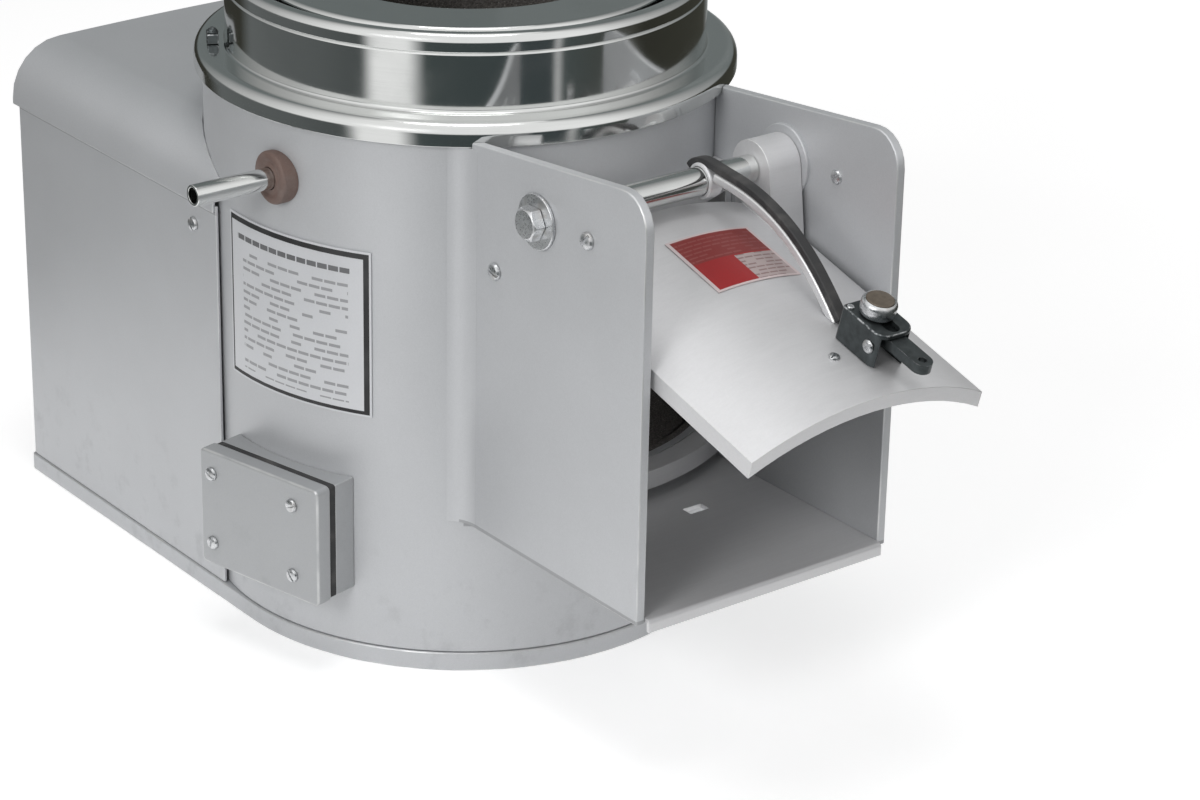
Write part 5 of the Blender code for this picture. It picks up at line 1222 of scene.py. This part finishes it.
class PEELER_OT_chute(bpy.types.Operator):
    """Make the two cheeks, the welds, the chute floor, the door jamb and the chute screws"""

    bl_idname = "peeler.chute"
    bl_label = "Chute"

    def execute(self, context):
        reach = context.scene.peeler_sizes.weld_reach
        for name, side in (("left", -1), ("right", 1)):
            cheek, weld = cheek_shape(side), weld_shape(side, reach)
            piece("cheek_" + name, cheek, "frame", "silver_paint", "chute_cheek_" + name)
            piece("cheek_weld_" + name, weld, "frame", "silver_paint")
            for spot, turn in (("front", 0.4 + side), ("back", 1.9 * side)):
                side_screw("chute_screw_" + name + "_" + spot, side, turn)
            inner = lay_along((-side, 0, 0), (side * CHEEK_INNER_X, *CHUTE_SCREW_PLACE))
            screw("chute_stud_" + name, "frame", inner, CHUTE_STUD, 1.2 + side)
        piece("chute_tray", tray_shape(), "frame", "satin_aluminium", "chute_floor")
        dress("door_jamb", "frame", "satin_aluminium", DOOR_EDGE_ROUNDING, "jamb")
        return {"FINISHED"}


def cheek_shape(side):
    """One cheek plate, rounded, with the boss round the hinge and its back fitted to the drum."""
    low, high = cheek_low.z, CHEEK_FRONT_Z
    corners = [(CHUTE_BACK_Y, CHEEK_BACK_Z, 0), (cheek_low.y, high, CHEEK_CORNER),
               (cheek_low.y, low, EASED), (CHUTE_BACK_Y, low, 0)]
    plate = along_x(corners, *sorted((side * CHEEK_INNER_X, side * CHEEK_OUTER_X)))
    turn = lay_along((side, 0, 0), (0, HINGE_Y, HINGE_Z))
    seat, root = CHEEK_INNER_X - CHEEK_BOSS_HEIGHT, CHEEK_INNER_X + BOSS_BITE
    boss = turned([(0, seat, 0), (CHEEK_BOSS_RADIUS, seat, SOFT), (CHEEK_BOSS_RADIUS, root, 0),
                   (0, root, 0)], WHEEL_STEPS, False)
    plate = combined(rounded(plate, CHEEK_ROUNDING), placed(boss, turn), "UNION")
    return cut(
        plate,
        drill(DRUM_RADIUS, low, high),
        cylinder_tool(COLLAR_RADIUS + SEAT_GAP, collar_low.z - SEAT_GAP, high + CUT_OVERRUN),
        drill(HINGE_ROD_RADIUS, seat, CHEEK_OUTER_X, ROD_STEPS, turn),
    )


def weld_shape(side, reach):
    """A soft blend along the joint of a cheek and the drum, on the outside."""
    wall = DRUM_RADIUS + SEAT_GAP
    joint = -math.sqrt(wall ** 2 - CHEEK_OUTER_X ** 2)
    turn = math.atan2(joint, CHEEK_OUTER_X) + reach / wall
    skin, root = CHEEK_OUTER_X + WELD_SKIN, CHEEK_OUTER_X - WELD_BITE
    corners = [(skin, joint - reach, 0), (skin, joint, reach * 0.97)]
    corners += [(radius * math.cos(turn), radius * math.sin(turn), 0)
                for radius in (wall, wall - WELD_BITE)]
    corners += [(root, joint + WELD_BITE / 2, 0), (root, joint - reach, 0)]
    corners = [(side * x, y, rounding) for x, y, rounding in corners]
    return along_z(corners, cheek_low.z + WELD_BITE, collar_low.z - SEAT_GAP)


def tray_shape():
    """The bent tray between the cheeks, with the hole that the latch bolt drops into."""
    lip, low, top = tray_low.y, tray_low.z, tray_high.z
    inner, under = lip + TRAY_SHEET, top - TRAY_SHEET
    corners = [(CHUTE_BACK_Y, top, 0), (lip, top, TRAY_BEND), (lip, low, FINE), (inner, low, FINE),
               (inner, under, CRISP), (CHUTE_BACK_Y, under, 0)]
    tray = along_x(corners, -tray_high.x, tray_high.x)
    hole = box_between((*KEEPER_LOW, low - CUT_OVERRUN), (*KEEPER_HIGH, top + CUT_OVERRUN))
    return cut(tray, drill(DRUM_RADIUS, low, top), hole)


class PEELER_OT_hinge(bpy.types.Operator):
    """Make the hinge bolt, its nut and washers, and the tube that turns on it"""

    bl_idname = "peeler.hinge"
    bl_label = "Hinge"

    def execute(self, context):
        left, right = (lay_along((side, 0, 0), (0, HINGE_Y, HINGE_Z)) for side in (-1, 1))
        radius, bore = HINGE_ROD_RADIUS, HINGE_ROD_RADIUS + SEAT_GAP
        rod = turned([(0, -PIVOT_WASHER_HIGH, 0), (radius, -PIVOT_WASHER_HIGH, FINE),
                      (radius, PIVOT_HEAD_LOW, 0), (0, PIVOT_HEAD_LOW, 0)], ROD_STEPS, False)
        bite = PIVOT_HEAD_LOW - PIVOT_HEAD_BITE
        head = hex_head(PIVOT_HEAD_RADIUS, bite, PIVOT_HEAD_HIGH, BENT)
        bolt = placed(combined(rod, head, "UNION"), left)
        piece("pivot_bolt", bolt, "frame", "zinc_steel", "hinge_rod")
        nut = placed(hex_head(PIVOT_HEAD_RADIUS, PIVOT_HEAD_LOW, PIVOT_HEAD_HIGH, BENT), right)
        piece("pivot_nut", nut, "frame", "zinc_steel", "hinge_nut")
        low, high = PIVOT_WASHER_LOW, PIVOT_WASHER_HIGH
        for name, place in (("left", left), ("right", right)):
            washer = turned([(PIVOT_WASHER_RADIUS, low, NEAT), (PIVOT_WASHER_RADIUS, high, THIN),
                             (bore, high, KEEN), (bore, low, KEEN)], WHEEL_STEPS)
            piece("washer_" + name, placed(washer, place), "frame", "zinc_steel",
                  "pivot_washer_" + name)
        radius, half = HINGE_TUBE_RADIUS, HINGE_TUBE_HALF
        tube = turned([(radius, -half, FINE), (radius, half, FINE), (bore, half, CRISP),
                       (bore, -half, CRISP)], ROD_STEPS)
        piece("door_tube", placed(tube, right), "door", "polished_steel", "hinge_tube")
        return {"FINISHED"}


class PEELER_OT_door(bpy.types.Operator):
    """Make the curved door, its seal, the printed panel and the two small screws"""

    bl_idname = "peeler.door"
    bl_label = "Door"

    def execute(self, context):
        dress("door_panel", "door", "satin_aluminium", DOOR_EDGE_ROUNDING, "door_shell")
        dress("door_gasket", "door", "black_rubber", THIN, "door_seal")
        radius = DOOR_OUTER + LABEL_LIFT
        start, end = (math.asin(x / radius) - math.pi / 2 for x in (LABEL_LEFT, LABEL_RIGHT))
        label = curved_sheet(radius, LABEL_THICKNESS, start, end, -LABEL_END, -LABEL_START)
        placed(label, DOOR_PLACE @ Matrix.Translation((0, DOOR_ARC_Y, 0)))
        shut = DOOR_PLACE.inverted()

        def on_label(place):
            spot = shut @ place
            return ((spot.x - LABEL_LEFT) / (LABEL_RIGHT - LABEL_LEFT),
                    (spot.z + LABEL_END) / (LABEL_END - LABEL_START))

        piece("door_print", label, "door", "red_panel", "door_label", uv=on_label)
        for name, x, turn in (("near", 0.001, 0.3), ("far", 0.053, 1.4)):
            depth = DOOR_ARC_Y - math.sqrt(DOOR_OUTER ** 2 - x ** 2)
            lean = Matrix.Rotation(math.asin(x / DOOR_OUTER), 4, "Z")
            seat = DOOR_PLACE @ Matrix.Translation((x, depth, -DOOR_SCREW_DOWN)) @ lean
            screw("door_screw_" + name, "door", seat @ lay_along((0, -1, 0)), DOOR_SCREW, turn)
        return {"FINISHED"}


def handle_points():
    """The (down, out) centre line of the grip, wrapped closely round the hub where it starts."""
    reach = HANDLE_HUB_RADIUS + SEAT_GAP + GRIP_THICKNESS / 2
    points = []
    for point in interpolate_bezier(*map(Vector, GRIP_CURVE), HANDLE_STEPS + 1):
        if point.x < GRIP_WRAP_END or point.length < reach:
            point = point.normalized() * reach
        points.append(point)
    for _ in range(GRIP_SMOOTHING):
        points[1:-1] = [(before + after) / 2 for before, after in zip(points, points[2:])]
    return points


def handle_outline(low, high, first=0):
    """A strip between two offsets from the grip's centre line, as a (y, z) outline."""
    points = handle_points()
    sides = []
    for offset in (low, high):
        side = []
        for step in range(first, len(points)):
            ahead = points[min(step + 1, len(points) - 1)] - points[max(step - 1, 0)]
            run = ahead.normalized()
            spot = points[step] + Vector((-run.y, run.x)) * offset
            side.append((-spot.y, -spot.x, 0))
        sides.append(side)
    return sides[0] + sides[1][::-1]


def door_face_tool():
    """The curved face of the shut door, to seat the handle and the latch on."""
    place = Matrix.Translation((0, DOOR_ARC_Y, 0))
    return drill(DOOR_OUTER, -DOOR_HEIGHT, 0, DRUM_STEPS, place)


class PEELER_OT_handle(bpy.types.Operator):
    """Make the arched bar that lifts the door, and the grip along its back"""

    bl_idname = "peeler.handle"
    bl_label = "Handle"

    def execute(self, context):
        low, high = LATCH_X - HANDLE_WIDTH / 2, LATCH_X + HANDLE_WIDTH / 2
        half = GRIP_THICKNESS / 2
        top = -half - SEAT_GAP
        first = [point.x > GRIP_WRAP_END for point in handle_points()].index(True)
        bar = along_x(handle_outline(top, top - HANDLE_THICKNESS, first), low, high)
        start, end = low - HANDLE_HUB_SIDE, high + HANDLE_HUB_SIDE
        hub = turned([(HINGE_TUBE_RADIUS, start, 0), (HANDLE_HUB_RADIUS, start, BROAD),
                      (HANDLE_HUB_RADIUS, end, BROAD), (HINGE_TUBE_RADIUS, end, 0)], WHEEL_STEPS)
        across = lay_along((1, 0, 0))
        bar = combined(rounded(bar, HANDLE_ROUNDING), placed(hub, across), "UNION")
        bar = cut(bar, drill(HINGE_TUBE_RADIUS, low, high, ROD_STEPS, across), door_face_tool())
        piece("handle_bar", placed(bar, DOOR_PLACE), "door", "satin_aluminium", "door_handle")

        low, high = LATCH_X - GRIP_WIDTH / 2, LATCH_X + GRIP_WIDTH / 2
        grip = rounded(along_x(handle_outline(-half, half), low, high), GRIP_ROUNDING)
        piece("handle_strip", placed(grip, DOOR_PLACE), "door", "black_rubber", "handle_grip")
        return {"FINISHED"}


class PEELER_OT_latch(bpy.types.Operator):
    """Make the latch bracket, its sliding bolt and the knob"""

    bl_idname = "peeler.latch"
    bl_label = "Latch"

    def execute(self, context):
        piece("latch_plate", placed(bracket_shape(), DOOR_PLACE), "door", "dark_steel",
              "latch_bracket")
        low, high = LATCH_X - BRACKET_HALF, LATCH_X + BRACKET_HALF
        down = -BRACKET_START - BRACKET_RIVET_DOWN
        for name, x, turn in (("near", low + BRACKET_RIVET_INSET, 2.0),
                              ("far", high - BRACKET_RIVET_INSET, 2.7)):
            place = DOOR_PLACE @ lay_along((0, -1, 0), (x, -BRACKET_TOP, down))
            screw("latch_rivet_" + name, "door", place, BRACKET_RIVET, turn)
        place = lay_along((-1, 0, 0), (low, BRACKET_SCREW_DEEP, -BRACKET_SCREW_DOWN))
        screw("latch_side_screw", "door", DOOR_PLACE @ place, BRACKET_SCREW, 0.8)

        low, high = LATCH_X - BOLT_HALF, LATCH_X + BOLT_HALF
        full = BOLT_HALF - MERGE_DISTANCE
        corners = [(low, -BOLT_TIP, full), (high, -BOLT_TIP, full), (high, -BOLT_TAIL, EASED),
                   (low, -BOLT_TAIL, EASED)]
        place = lay_along((0, 1, 0), (LATCH_X, 0, BOLT_HALF - BOLT_TIP))
        under = -BOLT_HIGH - CUT_OVERRUN
        eye = cylinder_tool(BOLT_EYE_RADIUS, under, CUT_OVERRUN, ROD_STEPS, place)
        bolt = rounded(cut(along_y(corners, -BOLT_HIGH, -BOLT_LOW), eye), SOFT)
        piece("bolt_bar", placed(bolt, DOOR_PLACE), "latch", "dark_steel", "latch_bolt")

        seat = DOOR_PLACE @ lay_along((0, -1, 0), (LATCH_X, 0, -KNOB_PLACE))
        low, radius, rim = BOLT_HIGH + SEAT_GAP, KNOB_RADIUS, KNOB_RADIUS * 0.80
        dish = KNOB_TOP - KNOB_DISH
        corners = [
            (0, low, 0), (KNOB_STEM_RADIUS, low, 0), (KNOB_STEM_RADIUS, KNOB_BOTTOM, CRISP),
            (radius * 0.92, KNOB_BOTTOM, EASED), (radius, KNOB_BOTTOM + KNOB_FLARE, EASED),
            (radius, KNOB_TOP - KNOB_SHOULDER, BROAD), (rim, KNOB_TOP - KNOB_RIM, FINE),
            (rim, dish, 0), (0, dish, 0),
        ]
        knob = placed(turned(corners, WHEEL_STEPS, False), seat)
        piece("knob", knob, "latch", "zinc_steel", "latch_knob")
        low = dish + BUTTON_GAP
        corners = [(0, low, 0), (radius * 0.78, low, 0), (radius * 0.76, low + BUTTON_EDGE, KEEN),
                   (0, KNOB_TOP, 0)]
        button = placed(turned(corners, WHEEL_STEPS, False), seat)
        piece("knob_button", button, "latch", "knob_cap")
        return {"FINISHED"}


def bracket_shape():
    """The hollow latch bracket, with its guides for the bolt and a run for the knob's stem."""
    low, high = LATCH_X - BRACKET_HALF, LATCH_X + BRACKET_HALF
    corners = [(low, -BRACKET_END, BRACKET_NOSE), (high, -BRACKET_END, BRACKET_NOSE),
               (high, -BRACKET_START, BRACKET_HEEL), (low, -BRACKET_START, BRACKET_HEEL)]
    bracket = rounded(along_y(corners, -BRACKET_TOP, BRACKET_DEEP), EASED)
    start, end = -BRACKET_END - CUT_OVERRUN, -BRACKET_START + CUT_OVERRUN
    half = BOLT_HALF + SEAT_GAP
    guide = box_between((LATCH_X - half, -BOLT_HIGH - SEAT_GAP, start),
                        (LATCH_X + half, -BOLT_LOW + SEAT_GAP, end))
    stem = KNOB_STEM_RADIUS + KNOB_STEM_GAP
    run = oblong(LATCH_X - stem, LATCH_X + stem, -KNOB_PLACE - KNOB_TRAVEL - stem,
                 -KNOB_PLACE + stem, stem * 0.95)
    hollow = box_between((low + BRACKET_WALL, BRACKET_WALL - BRACKET_TOP, start),
                         (high - BRACKET_WALL, BRACKET_DEEP + CUT_OVERRUN, end))
    return cut(bracket, door_face_tool(), guide, along_y(run, -BRACKET_DEEP, 0), hollow)


class PEELER_OT_disc(bpy.types.Operator):
    """Make the abrasive disc, its plate and the hand nut"""

    bl_idname = "peeler.disc"
    bl_label = "Abrasive disc"

    def execute(self, context):
        radius, low, high = disc_high.x, disc_low.z, disc_high.z
        corners = [(radius, low, SOFT), (radius, high, WIDE), (DISC_BORE, high, 0),
                   (DISC_BORE, low, 0)]
        platter = turned(corners, DRUM_STEPS)
        piece("disc_platter", platter, "disc", "satin_aluminium", "disc_plate")
        piece("grit_face", grit_shape(), "disc", "grit", "abrasive_disc")

        radius, low, high = nut_high.x, nut_low.z, nut_high.z
        corners = [(DISC_BORE, low, 0), (radius, low, EASED),
                   (radius, high - NUT_SLOPE_DROP, NUT_SLOPE_ROUNDING),
                   (radius - NUT_SLOPE_RUN, high, BENT), (0, high, 0)]
        flute = Matrix.Translation((radius + NUT_FLUTE_OFFSET, 0, 0))
        under = low - CUT_OVERRUN
        tools = [cylinder_tool(NUT_FLUTE_RADIUS, under, high - NUT_FLUTE_DROP, SCREW_STEPS // 2,
                               Matrix.Rotation(2 * math.pi * step / NUT_FLUTES, 4, "Z") @ flute)
                 for step in range(NUT_FLUTES)]
        tools.append(cylinder_tool(DISC_BORE, under, high - NUT_CROWN, ROD_STEPS))
        nut = cut(turned(corners, WHEEL_STEPS, False), *tools)
        piece("hand_nut", nut, "disc", "zinc_steel", "disc_nut")
        return {"FINISHED"}


def grit_shape():
    """The abrasive face, whose top rises and falls in three smooth waves."""
    low, outer = grit_low.z, grit_high.x
    top = low + GRIT_BODY
    corners = [(GRIT_BORE, low, 0), (GRIT_BORE, top, 0), (outer, top, 0), (outer, low, 0)]
    shape = turned(corners, GRIT_STEPS)
    spokes = []
    for edge in shape.edges:
        inner, outward = (vert.co.xy.length for vert in edge.verts)
        if abs(inner - outward) > GRIT_SPOKE_LENGTH:
            spokes.append(edge)
    bmesh.ops.subdivide_edges(shape, edges=spokes, cuts=GRIT_RINGS, use_grid_fill=True)
    hub = nut_high.x
    for vert in shape.verts:
        if vert.co.z > top - MERGE_DISTANCE:
            span = (vert.co.xy.length - hub) / (disc_high.x - hub)
            turn = math.atan2(vert.co.y, vert.co.x)
            wave = math.sin(math.pi * span) * (1 + math.cos(GRIT_WAVES * turn)) / 2
            vert.co.z = top + GRIT_WAVE * wave
    return rounded(shape, SOFT)


class PEELER_OT_drive(bpy.types.Operator):
    """Finish the shaft, bearings, pulleys, belt and motor"""

    bl_idname = "peeler.drive"
    bl_label = "Drive and motor"

    def execute(self, context):
        for node, body, finish, width in DRIVE_PIECES:
            dress(node, body, finish, width)
        return {"FINISHED"}


# node, body, finish and the rounding of its edges
DRIVE_PIECES = (
    ("bearing_housing", "frame", "cast_iron", SOFT),
    ("lower_bearing", "frame", "zinc_steel", KEEN),
    ("upper_bearing", "frame", "zinc_steel", KEEN),
    ("shaft_seal", "frame", "black_rubber", CRISP),
    ("drive_shaft", "disc", "zinc_steel", NEAT),
    ("driven_pulley", "disc", "cast_iron", FINE),
    ("drive_belt", "frame", "black_rubber", NEAT),
    ("motor_shaft", "rotor", "zinc_steel", NEAT),
    ("motor_pulley", "rotor", "cast_iron", NEAT),
    ("motor_body", "frame", "motor_paint", EASED),
    ("motor_mount", "frame", "zinc_steel", FINE),
)


class PEELER_OT_junction_box(bpy.types.Operator):
    """Make the junction box, its gasket, cover and screws, with the black gasket deeper than the
    real one so that it also stands for the shade under the cover's edge
    """

    bl_idname = "peeler.junction_box"
    bl_label = "Junction box"

    def execute(self, context):
        half, face, wall = JUNCTION_HALF, JUNCTION_FACE, JUNCTION_WALL
        low, high = lid_low.z, lid_high.z
        lid_back = face - JUNCTION_LID_DEPTH
        seal_and_shade_back = lid_back - JUNCTION_SEAL_AND_SHADE_DEPTH

        def slab(inset, back, ahead, rounding):
            corners = oblong(inset - half, half - inset, low + inset, high - inset, rounding)
            return along_x(corners, back, ahead)

        front = box_between((seal_and_shade_back, -half * 2, low * 0.5), (face * 2, half * 2, high * 1.5))
        body = rounded(cut(node_shape("junction_box"), placed(front, JUNCTION_PLACE)), EASED)
        piece("junction_body", body, "frame", "box_paint", "junction_box")
        # The black seal, deep enough to stand for the shade under the cover's edge as well as the
        # gasket
        seal = cut(slab(wall / 2, seal_and_shade_back, lid_back, BENT),
                   slab(wall * 3, seal_and_shade_back - wall, lid_back + wall, 0))
        piece("junction_seal", placed(seal, JUNCTION_PLACE), "frame", "black_rubber",
              "junction_gasket")
        lid = cut(rounded(slab(0, lid_back, face, JUNCTION_LID_CORNER), ROUND),
                  slab(wall, lid_back - wall, face - wall, 0))
        piece("junction_lid", placed(lid, JUNCTION_PLACE), "frame", "box_paint",
              "junction_cover")
        for name, across, turn in (("left", -0.039, 0.4), ("right", 0.028, 1.3)):
            for row, rise in (("lower", -JUNCTION_SCREW_RISE), ("upper", JUNCTION_SCREW_RISE)):
                node = "junction_screw_" + name + "_" + row
                seat = (face + SEAT_GAP, across, (low + high) / 2 + rise)
                screw(node + "_head", "frame", JUNCTION_PLACE @ lay_along((1, 0, 0), seat),
                      JUNCTION_SCREW, turn + rise * 30, node)
        return {"FINISHED"}


class PEELER_OT_pipes(bpy.types.Operator):
    """Make the water inlet, its grommet and the drain spout"""

    bl_idname = "peeler.pipes"
    bl_label = "Pipes"

    def execute(self, context):
        radius, place = side_pipe("inlet_pipe", -1)
        root, tip = -inlet_high.x, -inlet_low.x
        tube = turned([(radius, root, CRISP), (radius, tip, FINE), (INLET_BORE, tip, CRISP),
                       (INLET_BORE, root, CRISP)], WHEEL_STEPS)
        piece("inlet_tube", placed(tube, place), "frame", "polished_steel", "inlet_pipe")
        outer, bore, face = (grommet_high.z - grommet_low.z) / 2, radius + SEAT_GAP, -grommet_low.x
        wall = math.sqrt((DRUM_RADIUS + SEAT_GAP) ** 2 - place.translation.y ** 2) - GROMMET_DEEP
        corners = [
            (bore, wall, 0), (outer, wall, 0), (outer, face - GROMMET_RIM, ROUND),
            (outer - GROMMET_BEVEL, face, EASED),
            (radius + GROMMET_BEVEL, face - GROMMET_DISH, FINE), (bore, face - GROMMET_LIP, CRISP),
        ]
        ring = cut(placed(turned(corners, WHEEL_STEPS), place),
                   drill(DRUM_RADIUS, grommet_low.z, grommet_high.z))
        piece("inlet_ring", ring, "frame", "brown_rubber", "inlet_grommet")

        radius, place = side_pipe("drain_spout", 1)
        bore, tip = radius - DRAIN_WALL, drain_high.x
        corners = [(radius, DRAIN_ROOT, 0), (radius, tip, EASED), (bore, tip, EASED),
                   (bore, DRAIN_ROOT, 0)]
        inside = cylinder_tool(LINER_BORE, drain_low.z - CUT_OVERRUN, drain_high.z + CUT_OVERRUN)
        spout = cut(placed(turned(corners, WHEEL_STEPS), place), inside)
        piece("drain_tube", spout, "frame", "satin_aluminium", "drain_spout")
        return {"FINISHED"}


class PEELER_OT_instruction_plate(bpy.types.Operator):
    """Make the printed plate on the drum"""

    bl_idname = "peeler.instruction_plate"
    bl_label = "Printed plate"

    def execute(self, context):
        def on_plate(spot):
            turn = math.atan2(spot.y, spot.x) % (2 * math.pi)
            return ((turn - PLATE_START) / (PLATE_END - PLATE_START),
                    (spot.z - plate_low.z) / (plate_high.z - plate_low.z))

        sheet = rounded(node_shape("instruction_plate"), PLATE_ROUNDING)
        piece("printed_sheet", sheet, "frame", "printed_plate", "instruction_plate", uv=on_plate)
        return {"FINISHED"}


class PEELER_PT_sidebar(bpy.types.Panel):
    """Lists the peeler's sizes, colours and pieces in the 3D view's sidebar"""

    bl_label = "Potato peeler"
    bl_idname = "PEELER_PT_sidebar"
    bl_space_type = "VIEW_3D"
    bl_region_type = "UI"
    bl_category = "Peeler"

    def draw(self, context):
        for group in (context.scene.peeler_sizes, context.scene.peeler_colours):
            column = self.layout.column(align=True)
            for name in group.__annotations__:
                column.prop(group, name)
        column = self.layout.column(align=True)
        for operator in OPERATORS:
            column.operator(operator.bl_idname)


OPERATORS = (
    PEELER_OT_stage,
    PEELER_OT_finishes,
    PEELER_OT_drum,
    PEELER_OT_collar,
    PEELER_OT_motor_housing,
    PEELER_OT_chute,
    PEELER_OT_hinge,
    PEELER_OT_door,
    PEELER_OT_handle,
    PEELER_OT_latch,
    PEELER_OT_disc,
    PEELER_OT_drive,
    PEELER_OT_junction_box,
    PEELER_OT_pipes,
    PEELER_OT_instruction_plate,
)
CLASSES = (PeelerSizes, PeelerColours, *OPERATORS, PEELER_PT_sidebar)


def register():
    for item in CLASSES:
        bpy.utils.register_class(item)
    bpy.types.Scene.peeler_sizes = PointerProperty(type=PeelerSizes)
    bpy.types.Scene.peeler_colours = PointerProperty(type=PeelerColours)


def unregister():
    del bpy.types.Scene.peeler_sizes
    del bpy.types.Scene.peeler_colours
    for item in reversed(CLASSES):
        bpy.utils.unregister_class(item)


def main():
    register()
    for operator in OPERATORS:
        getattr(bpy.ops.peeler, operator.bl_idname.split(".")[1])()
    bpy.context.view_layer.update()


if __name__ == "__main__":
    main()
